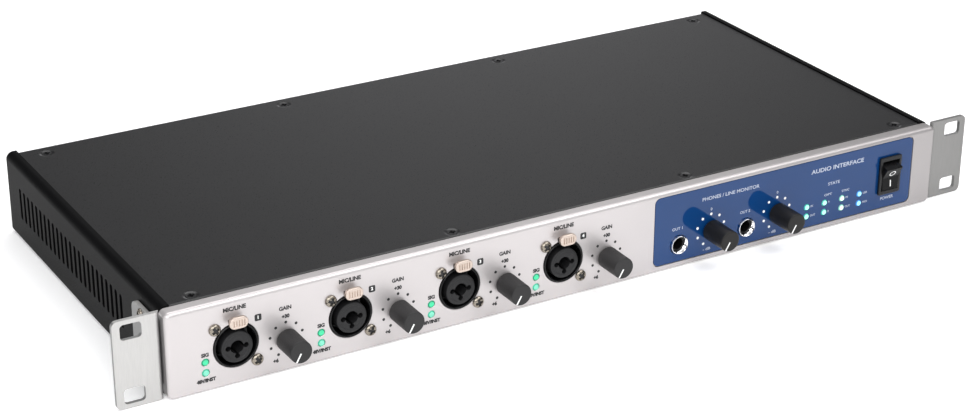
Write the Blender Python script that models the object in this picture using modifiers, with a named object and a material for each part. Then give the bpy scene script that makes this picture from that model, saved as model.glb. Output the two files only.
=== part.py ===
"""Rack-mount audio interface, one rack unit high, as an assembly of separate sub-parts.

Frame: the origin is the centre of the footprint, on the underside. +X is to the right seen
from the front, +Y runs to the rear and +Z up. Everything is in metres, and MM turns
millimetres into metres. Pieces on the front or the rear are drawn flat, with local +Z
standing out of the panel and local +Y up, and are then placed on the panel's face.
"""

import math

import bmesh
import bpy
from mathutils import Matrix, Vector

MM = 0.001
GAP = 0.3 * MM

# Driving dimensions
RACK_WIDTH = 482.6 * MM
HEIGHT = 44.0 * MM
DEPTH = 242.0 * MM
HOUSING_WIDTH = 436.6 * MM
KNOB_REACH = 17.0 * MM
PANEL_THICKNESS = 7.0 * MM
HOUSING_LENGTH = 199.2 * MM
SHEET = 1.5 * MM

# Places worked out from the driving dimensions
FRONT_FACE = -DEPTH / 2 + KNOB_REACH
PANEL_BACK = FRONT_FACE + PANEL_THICKNESS
HOUSING_FRONT = PANEL_BACK + GAP
HOUSING_BACK = HOUSING_FRONT + HOUSING_LENGTH
REAR_REACH = DEPTH / 2 - HOUSING_BACK
COVER_TOP = HEIGHT - 0.6 * MM
COVER_UNDER = COVER_TOP - SHEET

# Side profiles
CREST_WIDTH = 5.8 * MM
CREST_RADIUS = 3.8 * MM
FOOT_RADIUS = 2.5 * MM
PROFILE_WALL = 2.2 * MM
INNER_WIDTH = HOUSING_WIDTH - 2 * CREST_WIDTH - 2 * GAP
VENT_COUNT = 24
VENT_PITCH = 5.9 * MM
VENT_WIDTH = 3.0 * MM
VENT_LOW = 13.6 * MM
VENT_HIGH = 30.7 * MM
VENT_FIRST = HOUSING_FRONT + 45.2 * MM

# Rack ears
EAR_SHEET = 2.0 * MM
EAR_FRONT = FRONT_FACE + 3.5 * MM
EAR_INNER = HOUSING_WIDTH / 2 + GAP
EAR_BEND = 2.5 * MM
EAR_FLANGE_LENGTH = 29.3 * MM
EAR_FLANGE_LOW = 5.9 * MM
EAR_CORNER = 2.5 * MM
RACK_HOLE_SPAN = 465.1 * MM
RACK_HOLE_PITCH = 31.75 * MM
RACK_SLOT = (10.2 * MM, 7.6 * MM)
EAR_SCREW_Y = EAR_FRONT + 18.2 * MM
EAR_SCREW_RISE = 13.2 * MM

# Front panel layout
PANEL_WIDTH = 436.0 * MM
CHANNELS = 4
CHANNEL_PITCH = 57.5 * MM
FIRST_JACK_X = -184.75 * MM
JACK_Z = 20.1 * MM
GAIN_X = 24.75 * MM
GAIN_Z = 16.8 * MM
LAMP_X = -15.15 * MM
LAMP_ROWS = (15.1 * MM, 9.8 * MM)
LAMP_RADIUS = 1.4 * MM
PHONES_JACKS = (55.75 * MM, 96.9 * MM)
PHONES_JACK_Z = 12.9 * MM
PHONES_KNOBS = (74.9 * MM, 115.8 * MM)
PHONES_KNOB_Z = 16.9 * MM
STATE_LAMPS = tuple((135.4 + 11.37 * column) * MM for column in range(4))
SWITCH_X = 188.2 * MM
SWITCH_Z = 22.3 * MM
SWITCH_SIZE = (14.0 * MM, 21.0 * MM)
OVERLAY = ((40.9 * MM, 3.7 * MM), (203.2 * MM, 40.5 * MM))
OVERLAY_SUNK = 0.1 * MM
OVERLAY_THICKNESS = 0.6 * MM
OVERLAY_CORNER = 3.0 * MM

# Combination jacks
BARREL_RADIUS = 11.0 * MM
BARREL_BORE = 9.5 * MM
INSERT_RADIUS = 7.8 * MM
INSERT_OUT = 1.3 * MM
INSERT_DROP = 0.6 * MM
PLUG_BORE = 3.3 * MM
PIN_HOLE = 1.3 * MM
PIN_CIRCLE = 4.4 * MM
JACK_BODY = (26.0 * MM, 30.0 * MM)
JACK_DEPTH = 30.0 * MM
SOCKET_DEPTH = 24.0 * MM
TAB_RISE = 13.1 * MM
TAB_SLOT = (11.55 * MM, 13.25 * MM)
TAB_STEM = (11.75 * MM, 13.0 * MM)
TAB_TRAVEL = 1.4 * MM
TAB_BACK = 3.0 * MM
TAB_FRONT = 4.9 * MM

# Knobs
SHAFT_RADIUS = 3.0 * MM
SHAFT_CLEARANCE = 0.25 * MM
KNOB_RADIUS = 5.5 * MM
KNOB_BACK = 1.0 * MM
POT_SIZE = 13.0 * MM
POT_DEPTH = 16.0 * MM
BOARD_DEPTH = 18.3 * MM
BOARD_SHEET = 1.6 * MM

# Rear panel layout: places across the width, and heights
REAR_MID = 21.0 * MM
LINE_OUT_X = -172.0 * MM
LINE_IN_X = -100.0 * MM
LINE_PITCH = 16.0 * MM
LINE_ROWS = (-9.0 * MM, 9.0 * MM)
LINE_COLUMNS = 4
USB_X = -32.0 * MM
OPTICAL_X = 14.0 * MM
CLOCK_X = 52.0 * MM
CLOCK_PITCH = 16.0 * MM
DIGITAL_IN_X = 116.0 * MM
DIGITAL_OUT_X = 86.0 * MM
INLET_X = 178.0 * MM

FINE = 20
MEDIUM = 12
COARSE = 8

for old in list(bpy.data.objects):
    bpy.data.objects.remove(old, do_unlink=True)

PARTS = bpy.data.collections.new("audio_interface")
CUTTERS = bpy.data.collections.new("cutters")
CUTTERS.hide_render = True
for group in (PARTS, CUTTERS):
    bpy.context.scene.collection.children.link(group)


# ---------------------------------------------------------------- shared tools


def on_front(x, z):
    """The place of a piece on the front panel: local +Z points to the user, +Y up."""
    return Matrix.Translation((x, FRONT_FACE, z)) @ Matrix.Rotation(math.pi / 2, 4, "X")


def on_rear(x, z):
    """The place of a piece on the rear panel: local +Z points to the rear, +Y up."""
    facing = Matrix.Rotation(math.pi, 4, "Z") @ Matrix.Rotation(math.pi / 2, 4, "X")
    return Matrix.Translation((x, HOUSING_BACK, z)) @ facing


def as_object(name, shape, place=None):
    """A bmesh made into an object of the assembly."""
    mesh = bpy.data.meshes.new(name)
    shape.to_mesh(mesh)
    shape.free()
    made = bpy.data.objects.new(name, mesh)
    PARTS.objects.link(made)
    made.matrix_world = place or Matrix()
    return made


def block(name, low, high, place=None, corner=0.0, corner_steps=3):
    """A box between two corners; corner rounds its four edges along local Z."""
    low, high = Vector(low), Vector(high)
    shape = bmesh.new()
    bmesh.ops.create_cube(shape, size=1.0)
    bmesh.ops.scale(shape, vec=high - low, verts=shape.verts)
    bmesh.ops.translate(shape, vec=(low + high) / 2, verts=shape.verts)
    if corner:
        upright = [e for e in shape.edges if (e.verts[0].co - e.verts[1].co).xy.length < 1e-9]
        bmesh.ops.bevel(
            shape, geom=upright, offset=corner, segments=corner_steps, profile=0.5, affect="EDGES"
        )
    return as_object(name, shape, place)


def disc(name, radius, low, high, place=None, at=(0, 0), sides=MEDIUM, top_radius=None):
    """A cylinder, or with top_radius a cone, along local Z."""
    shape = bmesh.new()
    bmesh.ops.create_cone(
        shape,
        cap_ends=True,
        segments=sides,
        radius1=radius,
        radius2=radius if top_radius is None else top_radius,
        depth=high - low,
    )
    bmesh.ops.translate(shape, vec=(at[0], at[1], (low + high) / 2), verts=shape.verts)
    return as_object(name, shape, place)


def turned(name, profile, place=None, sides=FINE, ring=False):
    """A profile of (radius, height) points, turned round local Z. A ring's profile is a loop."""
    shape = bmesh.new()
    points = [shape.verts.new((radius, 0, height)) for radius, height in profile]
    for start, end in zip(points, points[1:] + points[:1] if ring else points[1:]):
        shape.edges.new((start, end))
    made = as_object(name, shape, place)
    screw = made.modifiers.new("turn", "SCREW")
    screw.steps = screw.render_steps = sides
    screw.merge_threshold = 0.00001
    screw.use_merge_vertices = True
    return made


def sheet(name, outline, start, end, thickness, place=None):
    """Sheet metal: an outline in local XY, drawn out along Z and given its thickness."""
    shape = bmesh.new()
    points = [shape.verts.new((x, y, start)) for x, y in outline]
    edges = [shape.edges.new(pair) for pair in zip(points, points[1:])]
    drawn = bmesh.ops.extrude_edge_only(shape, edges=edges)["geom"]
    moved = [v for v in drawn if isinstance(v, bmesh.types.BMVert)]
    bmesh.ops.translate(shape, vec=(0, 0, end - start), verts=moved)
    made = as_object(name, shape, place)
    solid = made.modifiers.new("thickness", "SOLIDIFY")
    solid.thickness = thickness
    solid.offset = 1.0
    solid.use_even_offset = True
    return made


def arc(centre, radius, start, end, steps=4):
    """Points on an arc, with angles in degrees."""
    angles = [math.radians(start + (end - start) * i / steps) for i in range(steps + 1)]
    return [(centre[0] + radius * math.cos(a), centre[1] + radius * math.sin(a)) for a in angles]


def combine(target, operation, others):
    """Cuts the others out of the target, or joins them to it."""
    group = bpy.data.collections.new(f"{target.name}_{operation.lower()}")
    CUTTERS.children.link(group)
    for other in others:
        PARTS.objects.unlink(other)
        group.objects.link(other)
        other.hide_render = True
        other.display_type = "WIRE"
    boolean = target.modifiers.new(operation.lower(), "BOOLEAN")
    boolean.operation = operation
    boolean.operand_type = "COLLECTION"
    boolean.collection = group
    boolean.solver = "EXACT"
    return target


def cut(target, *others):
    return combine(target, "DIFFERENCE", others)


def join(target, *others):
    return combine(target, "UNION", others)


def finish(made, color, roughness, metallic=0.0, glow=0.0):
    """Gives the piece its own material and shades its round faces smooth."""
    material = bpy.data.materials.new(f"{made.name}_finish")
    material.use_nodes = True
    shader = material.node_tree.nodes["Principled BSDF"]
    shader.inputs["Base Color"].default_value = (*color, 1.0)
    shader.inputs["Roughness"].default_value = roughness
    shader.inputs["Metallic"].default_value = metallic
    if glow:
        shader.inputs["Emission Color"].default_value = (*color, 1.0)
        shader.inputs["Emission Strength"].default_value = glow
    made.data.materials.append(material)
    made.data.shade_smooth()
    made.data.set_sharp_from_angle(angle=math.radians(40))
    return made


DARK_PAINT = dict(color=(0.035, 0.036, 0.038), roughness=0.55)
SATIN_METAL = dict(color=(0.72, 0.70, 0.69), roughness=0.35, metallic=1.0)
ZINC = dict(color=(0.62, 0.64, 0.66), roughness=0.35, metallic=1.0)
BLACK_PLASTIC = dict(color=(0.015, 0.015, 0.016), roughness=0.35)
BOARD_GREEN = dict(color=(0.02, 0.16, 0.07), roughness=0.5)


# ---------------------------------------------------------------- housing


def make_base_tray():
    half = INNER_WIDTH / 2
    fold = 8 * MM
    outline = [(-half, fold), (-half, 0), (half, 0), (half, fold)]
    upright = Matrix.Rotation(math.pi / 2, 4, "X")
    tray = sheet("base_tray", outline, -HOUSING_BACK + 2 * MM, -HOUSING_FRONT, SHEET, upright)
    tray.modifiers["thickness"].offset = 1.0
    posts = [
        disc("post", 3 * MM, 1 * MM, 7.7 * MM, Matrix.Translation((x * MM, y * MM, 0)), sides=COARSE)
        for x in (-190, -40, 105)
        for y in (-60, 60)
    ]
    return finish(join(tray, *posts), **DARK_PAINT)


def cover_screw_places():
    for x in (-200, -66.7, 66.7, 200):
        for y in (HOUSING_FRONT + 5.1 * MM, HOUSING_BACK - 10 * MM):
            yield x * MM, y


def make_top_cover():
    front = HOUSING_FRONT + 0.5 * MM
    back = HOUSING_BACK - SHEET - GAP
    fold = COVER_TOP - 5 * MM
    outline = [(front, fold), (front, COVER_TOP), (back, COVER_TOP), (back, fold)]
    along_x = Matrix(((0, 0, 1, 0), (1, 0, 0, 0), (0, 1, 0, 0), (0, 0, 0, 1)))
    cover = sheet("top_cover", outline, -INNER_WIDTH / 2, INNER_WIDTH / 2, SHEET, along_x)
    cover.modifiers["thickness"].offset = -1.0
    sinks = [
        disc("sink", 1.7 * MM, COVER_UNDER - MM, COVER_TOP + 0.1 * MM,
             Matrix.Translation((x, y, 0)), sides=COARSE, top_radius=4.4 * MM)
        for x, y in cover_screw_places()
    ]
    return finish(cut(cover, *sinks), **DARK_PAINT)


def make_side_profile(name, side):
    """Extruded side wall with a rounded crest and a row of upright vent slots."""
    outer = HOUSING_WIDTH / 2
    inner = outer - CREST_WIDTH
    outline = [(inner, 0)]
    outline += arc((outer - FOOT_RADIUS, FOOT_RADIUS), FOOT_RADIUS, -90, 0, 3)
    outline += arc((outer - CREST_RADIUS, HEIGHT - CREST_RADIUS), CREST_RADIUS, 0, 90, 6)
    outline += [(inner, HEIGHT)]
    outline = [(side * x, y) for x, y in outline]
    upright = Matrix.Rotation(math.pi / 2, 4, "X")
    wall = sheet(name, outline, -HOUSING_BACK, -HOUSING_FRONT, PROFILE_WALL, upright)
    wall.modifiers["thickness"].offset = side * 1.0
    slots = []
    for i in range(VENT_COUNT):
        y = VENT_FIRST + i * VENT_PITCH
        reach = sorted((side * (outer - 2 * PROFILE_WALL), side * (outer + MM)))
        low = (reach[0], y - VENT_WIDTH / 2, VENT_LOW)
        slots.append(block("slot", low, (reach[1], y + VENT_WIDTH / 2, VENT_HIGH)))
    return finish(cut(wall, *slots), **DARK_PAINT)


def line_jack_places():
    first = -LINE_PITCH * (LINE_COLUMNS - 1) / 2
    return [(first + i * LINE_PITCH, z) for i in range(LINE_COLUMNS) for z in LINE_ROWS]


def make_rear_panel():
    half = INNER_WIDTH / 2
    low = (-half, HOUSING_BACK - SHEET, SHEET + GAP)
    panel = block("rear_panel", low, (half, HOUSING_BACK, COVER_UNDER - GAP))
    through = (-3 * MM, MM)
    holes = []
    for x in (LINE_OUT_X, LINE_IN_X):
        for at in line_jack_places():
            holes.append(disc("hole", 5.6 * MM, *through, on_rear(x, REAR_MID), at, COARSE))
    for x in (DIGITAL_IN_X, DIGITAL_OUT_X):
        holes.append(disc("hole", 12.2 * MM, *through, on_rear(x, REAR_MID), sides=FINE))
    for side in (-1, 1):
        at = (side * CLOCK_PITCH / 2, 0)
        holes.append(disc("hole", 5.2 * MM, *through, on_rear(CLOCK_X, REAR_MID), at, COARSE))
    for x, width, height in (
        (USB_X, 34.6 * MM, 13.6 * MM),
        (OPTICAL_X, 30.6 * MM, 26.6 * MM),
        (INLET_X, 28.2 * MM, 20.4 * MM),
    ):
        low = (-width / 2, -height / 2, through[0])
        holes.append(block("hole", low, (width / 2, height / 2, through[1]), on_rear(x, REAR_MID)))
    return finish(cut(panel, *holes), **DARK_PAINT)


def make_rack_ear(name, side):
    """Folded bracket: a front plate with two slots, and a flange on the housing's side."""
    inner = EAR_INNER
    outer = RACK_WIDTH / 2
    bend = (inner + EAR_BEND, EAR_FRONT + EAR_BEND)
    outline = [(outer, EAR_FRONT)]
    outline += arc(bend, EAR_BEND, -90, -180, 4)
    outline += [(inner, EAR_FRONT + EAR_FLANGE_LENGTH)]
    outline = [(side * x, y) for x, y in outline]
    edge = 0.17 * MM
    ear = sheet(name, outline, edge, HEIGHT - edge, EAR_SHEET)
    ear.modifiers["thickness"].offset = -side * 1.0
    tools = []
    for low, high in ((-MM, EAR_FLANGE_LOW), (HEIGHT - EAR_FLANGE_LOW, HEIGHT + MM)):
        ends = sorted((side * (inner - MM), side * (inner + EAR_SHEET + 6 * MM)))
        start = EAR_FRONT + EAR_SHEET + 0.01 * MM
        tools.append(block("trim", (ends[0], start, low), (ends[1], start + 60 * MM, high)))
    for rise in (-RACK_HOLE_PITCH / 2, RACK_HOLE_PITCH / 2):
        place = on_front(side * RACK_HOLE_SPAN / 2, HEIGHT / 2 + rise)
        half = Vector(RACK_SLOT) / 2
        tools.append(block("slot", (*-half, -8 * MM), (*half, 0), place, 1.6 * MM))
    across = Matrix.Rotation(math.pi / 2, 4, "Y")
    for rise in (-EAR_SCREW_RISE, EAR_SCREW_RISE):
        place = Matrix.Translation((side * inner, EAR_SCREW_Y, HEIGHT / 2 + rise)) @ across
        tools.append(disc("bore", 1.6 * MM, -5 * MM, 5 * MM, place, sides=COARSE))
    return finish(cut(ear, *tools), **ZINC)


def make_ear_screw(name, side, rise):
    """Pan-head screw through the ear's flange into the side profile."""
    head = 2.5 * MM
    profile = [
        (0, 1.6 * MM), (0.6 * head, 1.5 * MM), (0.93 * head, 1.0 * MM), (head, 0.25 * MM),
        (1.3 * MM, 0.25 * MM), (1.3 * MM, -1.9 * MM), (0, -1.9 * MM),
    ]
    turn = Matrix.Rotation(side * math.pi / 2, 4, "Y")
    face = side * (EAR_INNER + EAR_SHEET)
    place = Matrix.Translation((face, EAR_SCREW_Y, HEIGHT / 2 + rise)) @ turn
    return finish(turned(name, profile, place, COARSE), **ZINC)


# ---------------------------------------------------------------- front panel


def jack_x(channel):
    return FIRST_JACK_X + channel * CHANNEL_PITCH


def lamp_holes(radius, low, high, x_places):
    return [
        disc("lamp_hole", radius, low, high, on_front(x, z), sides=COARSE)
        for x in x_places
        for z in LAMP_ROWS
    ]


def right_side_holes(low, high):
    """The openings that the panel and its overlay share."""
    holes = lamp_holes(LAMP_RADIUS + GAP, low, high, STATE_LAMPS)
    for x in PHONES_JACKS:
        holes.append(disc("hole", 5.3 * MM, low, high, on_front(x, PHONES_JACK_Z), sides=MEDIUM))
    for x in PHONES_KNOBS:
        holes.append(disc("hole", 3.8 * MM, low, high, on_front(x, PHONES_KNOB_Z), sides=MEDIUM))
    half = Vector(SWITCH_SIZE) / 2 - Vector((0.4 * MM, 0.4 * MM))
    holes.append(block("hole", (*-half, low), (*half, high), on_front(SWITCH_X, SWITCH_Z)))
    return holes


def make_front_panel():
    half = PANEL_WIDTH / 2
    shape = bmesh.new()
    bmesh.ops.create_cube(shape, size=1.0)
    bmesh.ops.scale(shape, vec=(PANEL_WIDTH, HEIGHT, PANEL_THICKNESS), verts=shape.verts)
    middle = (0, HEIGHT / 2, -PANEL_THICKNESS / 2)
    bmesh.ops.translate(shape, vec=middle, verts=shape.verts)
    rim = [e for e in shape.edges if all(v.co.z > -0.5 * MM for v in e.verts)]
    bmesh.ops.bevel(shape, geom=rim, offset=2.2 * MM, segments=3, profile=0.5, affect="EDGES")
    panel = as_object("front_panel", shape, on_front(0, 0))
    low, high = -PANEL_THICKNESS - MM, MM
    holes = lamp_holes(LAMP_RADIUS + GAP, low, high, [jack_x(i) + LAMP_X for i in range(CHANNELS)])
    for i in range(CHANNELS):
        place = on_front(jack_x(i), JACK_Z)
        holes.append(disc("hole", BARREL_RADIUS + GAP, low, high, place, sides=FINE))
        holes.append(block("hole", (-3.3 * MM, TAB_SLOT[0], low), (3.3 * MM, TAB_SLOT[1], high), place))
        place = on_front(jack_x(i) + GAIN_X, GAIN_Z)
        holes.append(disc("hole", 3.8 * MM, low, high, place, sides=MEDIUM))
    (left, bottom), (right, top) = OVERLAY
    floor = -OVERLAY_SUNK - OVERLAY_THICKNESS - GAP
    seat = block("seat", (left - GAP, bottom - GAP, floor), (right + GAP, top + GAP, MM),
                 on_front(0, 0), OVERLAY_CORNER + GAP)
    panel = cut(panel, seat)
    return finish(cut(panel, *holes, *right_side_holes(low, high)), **SATIN_METAL)


def make_overlay():
    (left, bottom), (right, top) = OVERLAY
    low = -OVERLAY_SUNK - OVERLAY_THICKNESS
    overlay = block("overlay_plate", (left, bottom, low), (right, top, -OVERLAY_SUNK),
                    on_front(0, 0), OVERLAY_CORNER)
    holes = right_side_holes(low - MM, MM)
    return finish(cut(overlay, *holes), color=(0.012, 0.06, 0.27), roughness=0.12)


def make_combo_jack(channel):
    """Round barrel with a free-standing insert, in a square body behind the panel."""
    place = on_front(jack_x(channel), JACK_Z)
    middle = on_front(jack_x(channel), JACK_Z - INSERT_DROP)
    face = 0.6 * MM
    floor = -11 * MM
    back = -PANEL_THICKNESS - GAP
    jack = turned(f"combo_jack_{channel + 1}", [
        (0, face), (BARREL_RADIUS - 0.4 * MM, face), (BARREL_RADIUS, 0.2 * MM),
        (BARREL_RADIUS, back - MM), (0, back - MM),
    ], place)
    half = Vector(JACK_BODY) / 2
    body = block("body", (*-half, -JACK_DEPTH), (*half, back), place)
    well = turned("well", [
        (0, MM), (BARREL_BORE + 0.9 * MM, MM), (BARREL_BORE, 0.1 * MM), (BARREL_BORE, floor), (0, floor),
    ], place)
    insert = turned("insert", [
        (0, INSERT_OUT), (INSERT_RADIUS - 0.6 * MM, INSERT_OUT), (INSERT_RADIUS, INSERT_OUT - 0.6 * MM),
        (INSERT_RADIUS, floor - MM), (0, floor - MM),
    ], middle)
    bore = disc("bore", PLUG_BORE, -SOCKET_DEPTH, INSERT_OUT + MM, middle, sides=MEDIUM)
    pins = [
        disc("pin", PIN_HOLE, -SOCKET_DEPTH / 2, INSERT_OUT + MM, middle,
             (PIN_CIRCLE * math.cos(math.radians(a)), PIN_CIRCLE * math.sin(math.radians(a))), 10)
        for a in (0, 180, 270)
    ]
    pocket = block("pocket", (-3.3 * MM, TAB_SLOT[0], back - 6 * MM),
                   (3.3 * MM, TAB_SLOT[1], back + MM), place)
    join(jack, body)
    cut(jack, well)
    join(jack, insert)
    cut(jack, bore, pocket)
    return finish(cut(jack, *pins), **BLACK_PLASTIC)


def make_release_tab(channel):
    """Push tab that frees the plug: an oval head on a flat stem."""
    place = on_front(jack_x(channel), JACK_Z + TAB_RISE)
    tab = block(f"release_tab_{channel + 1}", (-4.6 * MM, -2.85 * MM, TAB_BACK),
                (4.6 * MM, 2.85 * MM, TAB_FRONT), place, 2.7 * MM, 4)
    stem = block("stem", (-2.8 * MM, TAB_STEM[0] - TAB_RISE, -10.5 * MM),
                 (2.8 * MM, TAB_STEM[1] - TAB_RISE, TAB_BACK + MM), place)
    return finish(join(tab, stem), color=(0.75, 0.70, 0.62), roughness=0.3, metallic=1.0)


def make_light_pipe(name, x_places):
    """Clear lenses that share one bar behind the panel."""
    bar_low, bar_high = -14 * MM, -12 * MM
    left, right = min(x_places), max(x_places)
    pipe = block(name, (left - 1.3 * MM, min(LAMP_ROWS) - 2 * MM, bar_low),
                 (right + 1.3 * MM, max(LAMP_ROWS) + 2 * MM, bar_high), on_front(0, 0))
    rods = lamp_holes(LAMP_RADIUS, bar_low + MM, 0.35 * MM, x_places)
    return finish(join(pipe, *rods), color=(0.15, 0.9, 0.5), roughness=0.2, glow=1.0)


def make_phones_jack(index):
    place = on_front(PHONES_JACKS[index], PHONES_JACK_Z)
    ring = [
        (0, 1.2 * MM), (4.3 * MM, 1.2 * MM), (4.9 * MM, 0.6 * MM), (4.9 * MM, -9 * MM), (0, -9 * MM),
    ]
    jack = turned(f"phones_jack_{index + 1}", ring, place, FINE)
    back = -PANEL_THICKNESS - GAP
    body = block("body", (-6.5 * MM, -7.5 * MM, -JACK_DEPTH), (6.5 * MM, 7.5 * MM, back), place)
    bore = disc("bore", 3.25 * MM, -JACK_DEPTH + 3 * MM, 2 * MM, place, sides=MEDIUM)
    join(jack, body)
    return finish(cut(jack, bore), color=(0.8, 0.8, 0.8), roughness=0.12, metallic=1.0)


# ---------------------------------------------------------------- knobs


def make_pot(name, x, z):
    """Potentiometer body with the bush that its shaft turns in."""
    place = on_front(x, z)
    half = POT_SIZE / 2
    back = -PANEL_THICKNESS - GAP
    pot = block(name, (-half, -half, -POT_DEPTH), (half, half, back), place)
    bore = disc("bore", SHAFT_RADIUS + SHAFT_CLEARANCE, -POT_DEPTH + MM, MM, place)
    return finish(cut(pot, bore), color=(0.30, 0.31, 0.30), roughness=0.5, metallic=0.6)


def make_shaft(name, x, z):
    shaft = disc(name, SHAFT_RADIUS, -POT_DEPTH + 1.4 * MM, KNOB_REACH - 3 * MM, on_front(x, z))
    return finish(shaft, color=(0.55, 0.55, 0.56), roughness=0.3, metallic=1.0)


def make_knob(name, x, z, reach, color):
    """Slim round knob with a soft front edge, and a bore that takes the shaft."""
    place = on_front(x, z)
    waist = KNOB_RADIUS * 0.95
    profile = [(0, reach), (waist - 1.1 * MM, reach)]
    profile += arc((waist - 1.1 * MM, reach - 1.1 * MM), 1.1 * MM, 60, 0, 2)
    profile += [(KNOB_RADIUS, KNOB_BACK + 0.4 * MM), (KNOB_RADIUS - 0.4 * MM, KNOB_BACK), (0, KNOB_BACK)]
    knob = turned(name, profile, place, FINE)
    bore = disc("bore", SHAFT_RADIUS + SHAFT_CLEARANCE, -MM, reach - 1.6 * MM, place)
    return finish(cut(knob, bore), color=color, roughness=0.5)


# ---------------------------------------------------------------- power switch

ROCKER_WIDTH = 10.4 * MM
WELL_HALF = 8.4 * MM
PIVOT_DEPTH = -2.5 * MM
BEZEL_FRONT = 1.6 * MM
ROCKER_TILT = math.radians(13)


def make_power_switch():
    """Bezel and body, with the well that the rocker tilts in."""
    place = on_front(SWITCH_X, SWITCH_Z)
    half = Vector(SWITCH_SIZE) / 2
    bezel = block("power_switch", (*-half, 0.2 * MM), (*half, BEZEL_FRONT), place, 0.8 * MM, 2)
    inner = half - Vector((0.8 * MM, 0.8 * MM))
    body = block("body", (*-inner, -22 * MM), (*inner, MM), place)
    well = block("well", (-ROCKER_WIDTH / 2 - GAP, -WELL_HALF, -9 * MM),
                 (ROCKER_WIDTH / 2 + GAP, WELL_HALF, 3 * MM), place)
    return finish(cut(join(bezel, body), well), **BLACK_PLASTIC)


def make_power_rocker():
    """Two-way rocker, like a wide V, resting with its lower half pressed in. Its origin is its pivot."""
    place = on_front(SWITCH_X, SWITCH_Z) @ Matrix.Translation((0, 0, PIVOT_DEPTH))
    half = ROCKER_WIDTH / 2
    tip, heel, keel = (6.5 * MM, 6.4 * MM), (7.4 * MM, 0.4 * MM), (2.6 * MM, -3.2 * MM)
    outline = [tip, (0, 4.3 * MM)] + [(-y, z) for y, z in (tip, heel, keel)] + [keel, heel]
    shape = bmesh.new()
    ring = [shape.verts.new((-half, y, z)) for y, z in outline]
    face = shape.faces.new(ring)
    drawn = bmesh.ops.extrude_face_region(shape, geom=[face])["geom"]
    moved = [v for v in drawn if isinstance(v, bmesh.types.BMVert)]
    bmesh.ops.translate(shape, vec=(2 * half, 0, 0), verts=moved)
    bmesh.ops.recalc_face_normals(shape, faces=shape.faces)
    tilted = place @ Matrix.Rotation(ROCKER_TILT, 4, "X")
    return finish(as_object("power_rocker", shape, tilted), **BLACK_PLASTIC)


# ---------------------------------------------------------------- boards and supply


def make_front_board():
    """Upright board behind the controls, cut out round the deep jacks and the switch."""
    low, high = -BOARD_DEPTH - BOARD_SHEET, -BOARD_DEPTH
    board = block("front_board", (-208 * MM, 3.2 * MM, low), (208 * MM, 39.5 * MM, high), on_front(0, 0))
    half = Vector(JACK_BODY) / 2 + Vector((GAP, GAP)) * 2
    holes = [
        block("hole", (*-half, low - MM), (*half, high + MM), on_front(jack_x(i), JACK_Z))
        for i in range(CHANNELS)
    ]
    for x in PHONES_JACKS:
        span = (7.1 * MM, 8.1 * MM)
        low_corner = (-span[0], -span[1], low - MM)
        holes.append(block("hole", low_corner, (*span, high + MM), on_front(x, PHONES_JACK_Z)))
    span = (SWITCH_SIZE[0] / 2, SWITCH_SIZE[1] / 2)
    low_corner = (-span[0], -span[1], low - MM)
    holes.append(block("hole", low_corner, (*span, high + MM), on_front(SWITCH_X, SWITCH_Z)))
    return finish(cut(board, *holes), **BOARD_GREEN)


def make_main_board():
    board = block("main_board", (-206 * MM, -70 * MM, 8 * MM), (118 * MM, 70 * MM, 9.6 * MM))
    chips = []
    for x, y, size, height in (
        (20, 0, 28, 2.4), (-40, -20, 20, 2.0), (-110, 20, 12, 2.0), (-160, 20, 12, 2.0), (70, 30, 16, 2.0)
    ):
        low = ((x - size / 2) * MM, (y - size / 2) * MM, 9 * MM)
        chips.append(block("chip", low, (low[0] + size * MM, low[1] + size * MM, (9.6 + height) * MM)))
    for x in range(-180, 100, 40):
        place = Matrix.Translation((x * MM, 50 * MM, 0))
        chips.append(disc("capacitor", 4 * MM, 9 * MM, 20 * MM, place, sides=COARSE))
    return finish(join(board, *chips), **BOARD_GREEN)


def make_power_supply():
    """Switched supply: a board with transformer, smoothing capacitors and a heat sink."""
    board = block("power_supply", (132 * MM, -45 * MM, 6 * MM), (204 * MM, 62 * MM, 7.6 * MM))
    extras = [
        block("transformer", (150 * MM, -10 * MM, 7 * MM), (180 * MM, 22 * MM, 32 * MM)),
        block("heat_sink", (138 * MM, -38 * MM, 7 * MM), (141 * MM, 50 * MM, 34 * MM)),
        block("choke", (160 * MM, 36 * MM, 7 * MM), (182 * MM, 54 * MM, 28 * MM)),
    ]
    for y in (-34, -20):
        place = Matrix.Translation((190 * MM, y * MM, 0))
        extras.append(disc("capacitor", 6 * MM, 7 * MM, 32 * MM, place, sides=COARSE))
    return finish(join(board, *extras), color=(0.35, 0.28, 0.08), roughness=0.5)


# ---------------------------------------------------------------- rear connectors

REAR_INSIDE = -SHEET - GAP


def make_line_jacks(name, x):
    """Eight line jacks, in two rows, in one moulded block."""
    place = on_rear(x, REAR_MID)
    jacks = block(name, (-33 * MM, -16.5 * MM, -27 * MM), (33 * MM, 16.5 * MM, REAR_INSIDE), place)
    collars = []
    bores = []
    for at in line_jack_places():
        collars.append(disc("collar", 5.2 * MM, -4 * MM, 3 * MM, place, at, COARSE))
        bores.append(disc("bore", 3.3 * MM, -24 * MM, 4 * MM, place, at, COARSE))
    return finish(cut(join(jacks, *collars), *bores), **BLACK_PLASTIC)


def make_digital_input():
    """Three-pole female connector with a round shell groove and three pin holes."""
    place = on_rear(DIGITAL_IN_X, REAR_MID)
    outline = [
        (0, 1.5 * MM), (7.8 * MM, 1.5 * MM), (7.8 * MM, -11 * MM), (9.6 * MM, -11 * MM),
        (9.6 * MM, 2 * MM), (11.8 * MM, 2 * MM), (11.8 * MM, -22 * MM), (0, -22 * MM),
    ]
    socket = turned("digital_input", outline, place)
    flange = rear_flange(place)
    pins = [disc("pin", 1.5 * MM, -10 * MM, 3 * MM, place, at, 10) for at in pin_circle(4 * MM)]
    return finish(cut(join(socket, flange), *pins), **BLACK_PLASTIC)


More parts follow.
